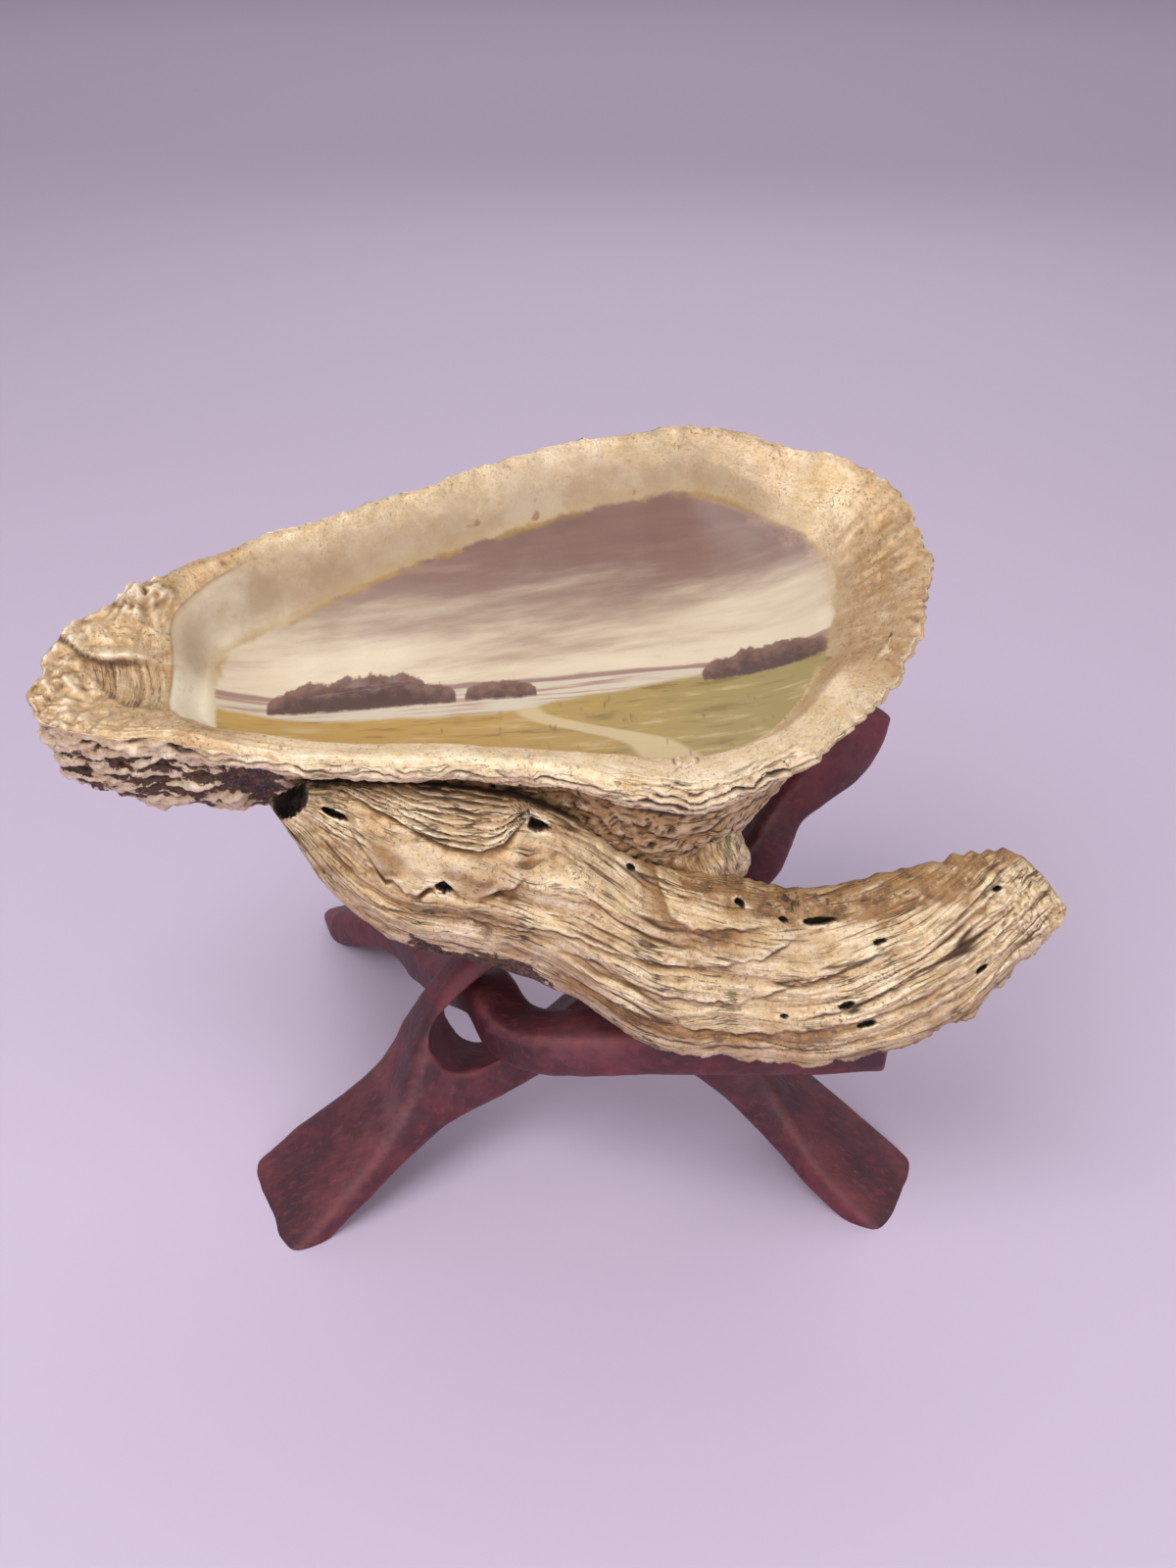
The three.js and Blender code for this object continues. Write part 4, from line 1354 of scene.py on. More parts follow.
@dataclass
class LowerValve:
    """The lower valve: a folded body with a smooth pad, sweeping to a long flat tongue."""

    stations: int = 540
    front_rings: int = 124
    back_rings: int = 54
    rounding: float = 0.65
    least_bulge: float = 0.1
    run_span: float = 0.15
    station_length: float = 17.0
    even_height: float = 38.0
    seed: int = 29
    # Station and share down where growth lines draw together
    gather: tuple[float, float] = (4.66, 0.32)
    gather_pull: float = 26.0
    growth_step: float = 4.4
    fold_step: float = 1.1
    sheets: float = 7.5
    sheet_step: float = 1.4
    bundle_rise: float = 1.8
    least_bundle: float = 0.012
    full_bundle: float = 7.0
    pad_rise: float = 0.9
    edge_ease: float = 0.5
    edge_shade: float = 0.42
    ragged_pit: float = 1.5
    back_step: float = 4.2
    top_fall: Line = (
        (1.2, 0), (1.6, 1.0), (4.5, 1.2), (4.8, 2.2), (5.1, 3.0), (5.4, 4.5), (5.7, 5.6), (6.1, 5.0),
        (6.5, 3.8), (6.9, 1.5), (7.3, 0))
    rim_shade: Line = ((1.3, 2.4), (2.6, 2.0), (3.3, 0.9), (4.0, 0.8), (4.5, 1.3), (5.3, 1.0))
    brown_strip: Line = (
        (6.0, 0), (6.6, 7), (7.2, 8.5), (8.0, 7.5), (8.8, 9.5), (9.4, 8), (9.8, 5), (10.2, 0))
    low_stain: Line = (
        (4.4, 0.90), (5.6, 0.87), (6.5, 0.87), (7.1, 0.865), (7.8, 0.82), (8.4, 0.80), (9.0, 0.79))
    bundle_top: Line = ((1.2, -0.02), (2.7, -0.02), (3.6, 0.02), (4.75, 0.05))
    bundle_foot: Line = (
        (1.2, 0.02), (1.5, 0.06), (2.2, 0.12), (2.9, 0.20), (3.3, 0.255), (3.6, 0.295), (3.9, 0.31),
        (4.1, 0.305), (4.37, 0.25), (4.65, 0.11), (4.75, 0.06))
    pad_lip: Line = (
        (2.2, 0.34), (2.45, 0.44), (2.66, 0.53), (2.85, 0.60), (2.95, 0.585), (3.05, 0.60),
        (3.13, 0.64), (3.25, 0.625), (3.45, 0.575), (3.64, 0.515), (3.8, 0.56), (3.94, 0.60),
        (4.15, 0.545), (4.3, 0.50), (4.48, 0.47), (4.62, 0.38))
    edges: tuple[GrowthEdge, ...] = (
        GrowthEdge(((4.3, 0.655), (4.66, 0.64), (5.12, 0.61), (5.68, 0.58), (6.51, 0.53), (7.0, 0.485),
                    (7.44, 0.40), (7.83, 0.27), (8.05, 0.19)), 1.1, 5.0),
        GrowthEdge(((4.7, 0.75), (5.48, 0.67), (6.05, 0.70), (6.57, 0.69), (7.11, 0.68), (7.68, 0.535),
                    (8.16, 0.48), (8.9, 0.40)), 1.0, 4.0),
        GrowthEdge(((4.6, 0.86), (5.62, 0.84), (6.46, 0.84), (7.09, 0.84), (7.77, 0.79), (8.3, 0.775),
                    (9.2, 0.74)), 1.2, 3.0),
        GrowthEdge(((7.2, 0.80), (7.57, 0.73), (8.17, 0.69), (8.8, 0.63), (9.3, 0.56)), 0.8, 2.5),
        GrowthEdge(((2.4, 0.80), (3.0, 0.76), (3.7, 0.71), (4.4, 0.69), (5.0, 0.66)), 0.8, 3.0),
        GrowthEdge(((6.3, 0.36), (6.66, 0.345), (7.23, 0.28), (7.77, 0.18)), 0.6, 3.0),
        GrowthEdge(((4.9, 0.93), (5.8, 0.91), (6.8, 0.925), (7.6, 0.90), (8.4, 0.88),
                    (9.0, 0.86)), 0.8, 2.0),
    )
    fold: Line = (
        (6.08, 0.04), (6.21, 0.135), (6.25, 0.195), (6.38, 0.315), (6.66, 0.34), (7.23, 0.275),
        (7.77, 0.18))
    pits: tuple[Pit, ...] = (
        Pit(0.78, 0.16, 9.0, 4.4, 5.0),
        Pit(1.95, 0.315, 4.6, 0.7, 4.0),
        Pit(4.78, 0.15, 2.0, 1.7, 4.0, 0.85),
        Pit(3.64, 0.545, 1.7, 0.9, 3.0),
        Pit(7.24, 0.14, 0.9, 0.7, 2.5),
        Pit(7.71, 0.18, 0.8, 0.5, 2.0),
        Pit(8.06, 0.185, 2.4, 0.6, 2.5),
        Pit(8.56, 0.37, 0.9, 0.4, 1.6),
        Pit(8.17, 0.67, 1.2, 0.6, 2.2),
        Pit(7.57, 0.71, 0.6, 0.4, 1.6),
        Pit(8.33, 0.80, 1.4, 0.5, 2.0),
        Pit(9.44, 0.78, 1.0, 0.5, 2.0),
        Pit(9.75, 0.30, 0.7, 0.5, 1.8),
        Pit(5.9, 0.17, 0.8, 0.6, 2.0),
    )

    def build(self) -> Piece:
        """Make the valve's mesh.

        Returns:
            The piece, in place.
        """
        noise = GrownNoise(self.seed)
        rows = np.array(LOWER, float)
        last = len(rows) - 1
        station = np.linspace(0, last, self.stations + 2)[1:-1]

        def middle(at: Array) -> Array:
            """Middle of the valve's height."""
            read = rows_at(rows, np.clip(at, 0, last), False)
            return (read[:, :3] + read[:, 3:6]) / 2

        read = rows_at(rows, station, False)
        top, foot = read[:, :3], read[:, 3:6]
        fall = foot - top
        tall = np.linalg.norm(fall, axis=1)
        front, back = np.maximum(read[:, 6:].T, self.least_bulge)
        forward = np.cross(fall, middle(station + self.run_span) - middle(station - self.run_span))
        forward /= np.linalg.norm(forward, axis=1, keepdims=True)

        torn = 1.3 * noise.over(station * 3.4, 1.0) + 0.4 * noise.over(station * 9, 3.0)
        torn = torn + 0.35 * noise.over(station * 23, 5.0)
        thick = ramp(tall, 0, 12)
        torn_foot = torn * lerp(0.35, 1.3, ramp(station, 5.2, 7.5)) * thick
        torn_top = 1.0 * noise.over(station * 7.5, 9.0) * ramp(station, 8.8, 9.4) * thick
        torn_top = torn_top + curve_at(self.top_fall, station) + 0.5 * noise.over(station * 8, 11.0) * thick
        foot = foot + fall / tall[:, None] * torn_foot[:, None]
        top = top + fall / tall[:, None] * torn_top[:, None]

        share = np.linspace(0, 1, self.front_rings, endpoint=False)[:, None]
        back_share = np.linspace(1, 0, self.back_rings, endpoint=False)[:, None]
        seen = (share * (tall + torn_foot - torn_top) + torn_top) / tall
        run = station * self.station_length
        face, back_face = (Face(noise, station, run, tall, at, at * tall) for at in (seen, back_share))
        relief, marks = self.face_relief(face, share)
        bulge = front * np.sin(np.pi * share) ** self.rounding + relief
        hind, hind_marks = self.back_relief(back_face)
        back_bulge = -back * np.sin(np.pi * back_share) ** self.rounding - hind

        def laid(at: Array, out: Array) -> Array:
            """Points at a share down the valve, moved out of its middle sheet."""
            return top + (foot - top) * at[..., None] + forward * out[..., None]

        grid = np.concatenate((laid(share, bulge), laid(back_share, back_bulge))).transpose(1, 0, 2)
        marks = {mark: np.concatenate((values, hind_marks[mark])).T for mark, values in marks.items()}
        return skin("lower_valve", grid, (rows[0, :3], rows[-1, :3]), marks)

    def face_relief(self, face: Face, share: Array) -> tuple[Array, dict[Mark, Array]]:
        """Relief and surface values of the front face.

        Args:
            face: Places on the face.
            share: Shares down the face as it is torn.

        Returns:
            Height above the plain form, and the values for the finish.
        """
        noise, station, run, tall = face.noise, face.station, face.run, face.tall
        seen, off_fold = face.seen, self.off_fold(face)
        tongue = ramp(station, 5.0, 7.6)
        from_foot = (1 - seen) * lerp(self.even_height, tall, tongue)
        gather_at, gather_down = self.gather
        gather = bell(station, gather_at, 0.5) * bell(seen, gather_down, 0.2)
        from_foot = from_foot + (seen - gather_down) * self.gather_pull * gather
        sway = 2.4 * noise.over(run / 34, seen * 1.5, 1.0) + 1.0 * noise.over(run / 12, seen * 3, 2.0)
        grain = from_foot + sway + 0.3 * face.rough(4.5, 3, 3.0)
        height, crease = self.growth(face, grain)
        height, crease = self.bundle_and_pad(face, height, crease)
        height, crease = self.add_edges(face, height, crease)
        fold_end = ramp(station, 7.7, 6.9)
        fold = np.tanh(off_fold / 1.6) * np.exp(-np.abs(off_fold) / 5) * fold_end
        height = (height + self.fold_step * fold) * np.sin(np.pi * share) ** 0.5
        height, crease = self.add_pits(face, height, crease)
        # Shade under the rim of the cup and in the fold
        thick = curve_at(self.rim_shade, station) * (1 + 0.4 * noise.over(run / 4, 3.0, 61.0))
        under_rim = ramp(share * tall, thick, 0.3 * thick) * window(station, 1.3, 1.6, 5.0, 5.5)
        in_fold = fold_end * np.exp(-np.abs(off_fold) / np.where(off_fold > 0, 0.6, 3.0))
        crease = np.max(np.broadcast_arrays(crease, 0.9 * under_rim, 0.32 * in_fold), axis=0)
        brown, bare = self.face_stains(face, off_fold)
        # Hollows of the relief are browned, partly the shell's brown and partly painted shade, and darkened
        # as painted shade; ridges get a painted highlight
        valley_brown_and_shade = cavity(height.T, 40, 1.0).T
        marks = {Mark.CREASE: unit(np.maximum(crease, 0.6 * cavity(height.T, 5, 0.6).T))}
        marks[Mark.RUB_AND_HIGHLIGHT] = crest(height.T, 10, 0.5).T
        marks[Mark.BROWN] = unit(brown + lerp(0.7, 0.5, tongue) * valley_brown_and_shade)
        marks[Mark.BARE] = unit(bare)
        marks[Mark.ACROSS] = grain
        marks[Mark.ALONG] = run + 0 * grain
        on_pad = window(station, 2.4, 2.8, 4.3, 4.6) * bell(seen, 0.42, 0.15)
        marks[Mark.LINED] = (1.0 - 0.85 * on_pad) * lerp(1.15, 0.95, tongue)
        return height, marks

    def off_fold(self, face: Face) -> Array:
        """Distance in millimetres from the fold at the tongue's root, more than 0 on its raised side."""
        line = np.array(self.fold)
        raised = (face.seen < curve_at(self.fold, face.station)) & (face.station > self.fold[0][0])
        line[:, 1] *= np.interp(line[:, 0], face.station, face.tall)
        line[:, 0] *= self.station_length
        return np.where(raised, 1, -1) * line_distance(line, face.run, face.deep)

    def growth(self, face: Face, grain: Array) -> tuple[Array, Array]:
        """Growth lines all over the face: folds, thin grooves and free edges.

        Args:
            face: Places on the face.
            grain: Place across the growth lines in millimetres.

        Returns:
            Height above the plain form and painted shade of its grooves and under its free edges.
        """
        noise, station, run = face.noise, face.station, face.run
        crackle = ramp(station, 7.4, 9.4)
        broad = lerp(1.3, 0.75, ramp(station, 5.5, 7.5))
        height = broad * noise.lines(grain, run, 5.2, 9, 1.0) + 0.42 * noise.lines(grain, run, 2.3, 12, 2.0)
        height = height + 0.13 * noise.lines(grain, run, 1.05, 16, 3.0)
        warped = grain + 0.5 * noise.over(run / 7, grain / 4, 6.0)
        patchy = unit(0.45 + 1.3 * noise.over(run / 18, grain / 5, 8.0))
        cut = groove(noise.lines(warped, run, 2.7, 13, 7.0), 0.13) * patchy
        thin = groove(noise.lines(warped, run, 1.25, 15, 17.0), 0.16) * unit(1.1 - patchy)
        height = height - 0.7 * cut - 0.14 * thin
        # Darkness: painted shade in the grooves, under the free edges and between the shards
        crease = np.maximum(0.8 * cut, 0.2 * thin)
        lines = -warped / self.growth_step
        bold = np.clip(0.5 + 1.2 * noise.over(run / 22, np.floor(lines) * 2.7, 4.0), 0, 1.2)
        bold = noise.strength(lines, 0.1) * bold
        height = height + 1.0 * bold * (ledge(lines, 0.1) - 0.45)
        crease = np.maximum(crease, 0.8 * bold * unit(shadow_under_edge(lines, 0.07) - 0.15))
        shards = noise.over(run / 4.5 + face.deep / 8, grain / 1.3, 5.0)
        shards = shards + 0.5 * noise.over(run / 2, grain / 0.9, 15.0)
        height = height + (0.12 + 0.5 * crackle) * shards
        crease = np.maximum(crease, crackle * 0.6 * unit(-shards - 0.45))
        curled = face.rough(3.4, 2.6, 71.0) + 0.6 * face.rough(1.7, 1.4, 73.0)
        worms = groove(curled, 0.2) * ramp(station, 9.0, 9.9)
        height = height - 0.4 * worms
        crease = np.maximum(crease, 0.4 * worms)
        return height + 0.4 * face.rough(9, 7, 6.0) + 0.12 * face.rough(1.6, 1.3, 7.0), crease

    def bundle_and_pad(self, face: Face, height: Array, crease: Array) -> tuple[Array, Array]:
        """Lay the bundle of thin sheets and the smooth pad with its torn lip over the face.

        Args:
            face: Places on the face.
            height: Relief so far.
            crease: Painted shade so far.

        Returns:
            The relief and the painted shade with both.
        """
        noise, station, run, tall, seen = face.noise, face.station, face.run, face.tall, face.seen
        top = curve_at(self.bundle_top, station)
        foot = curve_at(self.bundle_foot, station) + 0.012 * noise.over(run / 6, 0.0, 40.0)
        there = window(station, 1.15, 1.5, 4.62, 4.8)
        gap = np.maximum(foot - top, self.least_bundle)
        layer = (seen - top) / gap
        in_bundle = there * ramp(layer, 1.0 + 0.5 / (gap * tall), 1.0)
        sheets = self.sheets * layer + 0.55 * noise.over(run / 9, layer * 3, 12.0)
        sheets = sheets + 0.3 * noise.over(run / 3.5, layer * 6, 14.0)
        number = np.floor(sheets)
        bold = np.clip(0.85 + 0.7 * noise.over(run / 10, number * 1.9, 16.0), 0.35, 1.2)
        bold = noise.strength(sheets, 0.6) * bold
        full = np.clip(gap * tall / self.full_bundle, 0.2, 1)
        jut = 0.5 * noise.over(run / 8, number * 3.3, 13.0)
        stepped = bold * (self.sheet_step * (ledge(sheets, 0.25) - 0.5) + jut)
        bundle = full * (stepped + self.bundle_rise * unit(layer) ** 1.5)
        bundle_edge_shadow = unit(2.1 * shadow_under_edge(sheets, 0.33) * bold - 0.4)

        lip = curve_at(self.pad_lip, station) + 0.015 * noise.over(run / 2.2, 0.0, 18.0)
        beside = window(station, 2.2, 2.5, 4.5, 4.68)
        above_lip = (lip - seen) * tall
        below = (seen - foot) * tall
        pad = beside * ramp(above_lip, 0.0, 0.6) * ramp(below, 0.0, 1.2)
        pad_shape = self.pad_rise + 1.0 * face.rough(10, 7, 20.0) + 0.35 * face.rough(4, 3.5, 22.0)
        pad_shape = pad_shape - self.pad_rise * np.exp(-np.clip(below, 0, None) / 1.5)
        broken = unit(0.35 + 1.5 * noise.over(run / 5, 3.0, 19.0))
        # Painted shadow under the pad's torn lip
        under_lip = beside * bell(above_lip, -0.35, 0.45) * broken

        height = lerp(lerp(height, pad_shape, pad), bundle, in_bundle)
        crease = lerp(lerp(crease, 0.0, pad), bundle_edge_shadow, in_bundle)
        # A groove along the bundle's foot, with painted shade in it
        foot_line = np.clip(0.45 + 1.1 * noise.over(run / 5, 5.0, 23.0), 0.05, 1)
        foot_line = there * bell(below, 0.4, 0.35) * foot_line
        height = height - 0.8 * under_lip - 0.7 * foot_line
        return height, np.maximum(crease, np.maximum(0.7 * under_lip, 0.75 * foot_line))

    def add_edges(self, face: Face, height: Array, crease: Array) -> tuple[Array, Array]:
        """Raise the bold free edges.

        Args:
            face: Places on the face.
            height: Relief so far.
            crease: Painted shade so far.

        Returns:
            The relief and the painted shade with the edges.
        """
        noise, station = face.noise, face.station
        for k, edge in enumerate(self.edges):
            start, finish = edge.line[0][0], edge.line[-1][0]
            there = window(station, start, start + self.edge_ease, finish - self.edge_ease, finish)
            wobble = 0.6 * noise.over(station * 6, k * 5.0) + 0.3 * noise.over(station * 17, k * 5.0 + 2)
            below = face.under(edge.line) + wobble
            broken = np.clip(0.65 + 1.0 * noise.over(station * 2.3, k * 9.0 + 4), 0.25, 1)
            proud = ramp(below, 0.4, -0.4) * np.exp(np.clip(below, None, 0) / edge.reach)
            # Painted shadow under each edge
            shade = np.exp(-np.clip(below, 0, None) / self.edge_shade) * ramp(below, -0.4, 0.1)
            height = height + there * (0.4 + 0.6 * broken) * edge.step * proud
            height = height - 0.4 * there * shade * broken
            crease = np.maximum(crease, 0.85 * there * shade * broken)
        return height, crease

    def add_pits(self, face: Face, height: Array, crease: Array) -> tuple[Array, Array]:
        """Sink the holes.

        Args:
            face: Places on the face.
            height: Relief so far.
            crease: Painted shade so far.

        Returns:
            The relief and the painted shade with the holes.
        """
        ragged = 0.7 * face.noise.over(face.station * 12, face.deep / 1.4, 60.0)
        for pit in self.pits:
            along = (face.station - pit.station) * self.station_length / pit.length
            half = pit.height * np.clip(1 - 0.5 * pit.taper * (along + 1), 0.1, 1)
            off = along**2 + ((face.seen - pit.share) * face.tall / half) ** 2
            off = off + ragged * min(1.0, self.ragged_pit / pit.height)
            height = height - pit.depth * ramp(off, 1.25, 0.6)
            # Painted shade in the hole
            crease = np.maximum(crease, ramp(off, 1.6, 0.8))
        return height, crease

    def face_stains(self, face: Face, off_fold: Array) -> tuple[Array, Array]:
        """Brown and bare places of the front face, with painted shade under the cup's rim.

        Args:
            face: Places on the face.
            off_fold: Distance from the fold.

        Returns:
            Brownness, with painted shade under the cup's rim, and bareness.
        """
        station, seen, deep = face.station, face.seen, face.deep
        wander = 3.0 * face.rough(10, 5, 31.0) + 1.6 * face.rough(3, 2, 32.0)
        strip = curve_at(self.brown_strip, station)
        mottled = 0.72 + 0.6 * face.rough(4, 2, 34.0)
        brown = mottled * ramp(deep + wander, strip + 2.5, strip - 2.5) * ramp(station, 6.2, 6.7)
        low = bell(face.under(self.low_stain), 0, 1.8) * window(station, 4.5, 5.2, 7.9, 8.7)
        streak = unit(0.3 + 1.2 * face.rough(26, 1.6, 33.0))
        fan = bell(station, 5.5, 0.8) * bell(seen, 0.45, 0.16) * streak
        patch = 0.75 * bell(station, 2.95, 0.2) * bell(seen, 0.46, 0.07)
        patch = patch + 0.5 * bell(station, 2.75, 0.1) * bell(seen, 0.42, 0.05)
        neck = np.where(off_fold > 0, np.exp(-off_fold / 0.7), np.exp(off_fold / 6))
        neck = neck * ramp(station, 7.9, 6.9)
        faint = 0.16 + 0.5 * unit(face.rough(26, 2.4, 35.0))
        faint = faint * lerp(1, 0.45, ramp(station, 6.4, 7.4))
        faint = faint + 0.3 * np.clip(face.rough(13, 9, 36.0), -0.4, 1) * ramp(station, 6.6, 5.6)
        # Browner towards the top edge under the cup: painted shade there
        faint = faint + 0.08 * ramp(deep, 14, 8) * window(station, 1.3, 1.8, 4.5, 4.8)
        shadow = 0.5 * ramp(deep, 6, 1) * window(station, 1.2, 1.8, 5.6, 6.4)
        stains = (brown, 0.8 * low, 0.85 * fan, patch, 0.8 * neck, faint, shadow)
        under = ramp((1 - seen) * face.tall + 0.8 * wander, 5.0, 2.0)
        under = under * window(station, 2.8, 3.3, 4.6, 5.2)
        copper = 0.42 * ramp(deep + wander, strip, strip - 4) * bell(station, 7.9, 0.9)
        return np.max(np.broadcast_arrays(*stains), axis=0), np.maximum(0.75 * under, copper)

    def back_relief(self, back: Face) -> tuple[Array, dict[Mark, Array]]:
        """Relief and surface values of the back.

        Args:
            back: Places on the back.

        Returns:
            Height above the plain form, and the values for the finish.
        """
        noise, run = back.noise, back.run
        lines = back.deep / self.back_step + 0.8 * back.rough(20, 12, 51.0) + 0.3 * back.rough(6, 4, 52.0)
        bold = np.clip(0.7 + noise.over(run / 15, np.floor(lines) * 3, 55.0), 0.1, 1.2)
        bold = noise.strength(lines, 0.3) * bold
        fine = 2.9 * lines
        height = 1.1 * bold * (ledge(lines) - 0.5) + 0.3 * (ledge(fine) - 0.5)
        height = height + 0.6 * back.rough(9, 8, 53.0) + 0.25 * back.rough(3, 2.5, 54.0)
        height = height * np.sin(np.pi * back.seen) ** 0.7
        # Painted shadow under the growth lines, and near-black painted shade at the pinched left end
        dark = unit(0.7 * bold * shadow_under_edge(lines, 0.1) + 0.25 * shadow_under_edge(fine) - 0.25)
        flat = np.zeros_like(height)
        dark = np.maximum(dark, ramp(back.station, 1.3, 0.9))
        marks = {Mark.CREASE: dark, Mark.RUB_AND_HIGHLIGHT: crest(height.T, 8, 0.5).T}
        marks |= {Mark.ACROSS: self.back_step * lines, Mark.ALONG: run + flat, Mark.LINED: flat + 0.8}
        marks |= {Mark.BROWN: flat + 0.3, Mark.BARE: flat + 0.25}
        return height, marks


@dataclass
class ShellNeck:
    """The rough lump of shell that joins the dome to the top of the tongue."""

    middle: Triple = (22.0, -13.5, 83.0)
    half: Triple = (9.5, 8.0, 7.0)
    squareness: float = 2.6
    rings: int = 60
    columns: int = 120
    ribs: float = 3.4
    seed: int = 37

    def build(self) -> Piece:
        """Make the lump's mesh.

        Returns:
            The piece, in place.
        """
        noise = GrownNoise(self.seed)
        rise = np.linspace(-0.5 * np.pi, 0.5 * np.pi, self.rings + 2)[1:-1, None]
        turn = np.linspace(0, 2 * np.pi, self.columns, endpoint=False)[None]

        level, up = squared(np.cos(rise), self.squareness), squared(np.sin(rise), self.squareness)
        east, north = squared(np.cos(turn), self.squareness), squared(np.sin(turn), self.squareness)
        ball = np.stack(np.broadcast_arrays(level * east, level * north, up), axis=-1)
        grid = ball * np.array(self.half)
        across = grid[..., 0] + 0.35 * grid[..., 2] + 0.8 * noise.at(grid / 4)
        ribs = noise.lines(across, grid[..., 2], self.ribs, 2.2, 1.0)
        ribs = ribs + 0.4 * noise.lines(across, grid[..., 2], 1.2, 3, 2.0)
        height = (0.12 * ribs + 1.5 * noise.fractal(grid / 6.5, 3)) * np.cos(rise) ** 0.5
        height = height - 2.2 * ramp(ball[..., 0], 0.3, -0.7) * ramp(ball[..., 2], -0.2, 0.7)
        out = ball / np.maximum(np.linalg.norm(ball, axis=-1, keepdims=True), TINY)
        grid = grid + height[..., None] * out + np.array(self.middle)
        ends = [np.array(self.middle) + np.array((0, 0, side * self.half[2])) for side in (-1, 1)]
        flat = np.zeros_like(height)
        # Painted shade in the hollows and a painted highlight on the ridges; the lump is browner on its
        # left, hollow side, partly as painted shade
        marks = {Mark.CREASE: 0.8 * cavity(height, 6, 0.6), Mark.RUB_AND_HIGHLIGHT: 0.3 * crest(height, 8, 0.5)}
        marks |= {Mark.ACROSS: across, Mark.ALONG: grid[..., 2], Mark.LINED: flat + 0.8}
        marks |= {Mark.BROWN: unit(0.5 - 0.2 * ribs - 0.5 * ball[..., 0]), Mark.BARE: flat}
        return skin("shell_neck", grid, (ends[0], ends[1]), marks)


# Stand legs from foot to tip: path point, half width across the slot and half depth
LEGS = {
    "stand_leg_front_left": (
        (-79, -34.5, -12, 3.6, 15), (-62, -26.5, 2, 3.8, 15), (-43, -15.4, 14.7, 6, 11.5),
        (-25, -7, 29, 16, 7.5), (-9.9, -1.3, 39.5, 18.7, 7), (5, 3.7, 48.2, 10.5, 7.5),
        (32, 9, 63, 7, 7.5), (42, 13.5, 77, 5, 6), (51.5, 18.5, 87, 8, 8.5), (55.5, 22, 97, 8, 9)),
    "stand_leg_front_right": (
        (78, -31, -12, 12.5, 3.6), (61, -23.5, 2, 12.5, 3.8), (42, -12.3, 15.7, 11, 5.5),
        (25, -5, 28, 10, 8), (5, 4, 45, 18, 7.5), (-20, 15, 61, 8.5, 8),
        (-37, 26, 77.5, 7.5, 8.5), (-45, 33, 88.3, 7, 8)),
    "stand_leg_back_left": (
        (-66, 87, -11, 5.2, 11), (-60, 69, 3, 5.2, 11), (-46, 47, 18, 5.4, 9), (-33, 18, 27, 5.5, 7),
        (-22.8, -1, 36.3, 5.2, 6), (-12.6, -16, 35.6, 5.6, 6.2), (16, -23.5, 42.5, 5.8, 7),
        (40, -25.5, 45, 6.5, 7), (60, -26.5, 46, 6, 7)),
}


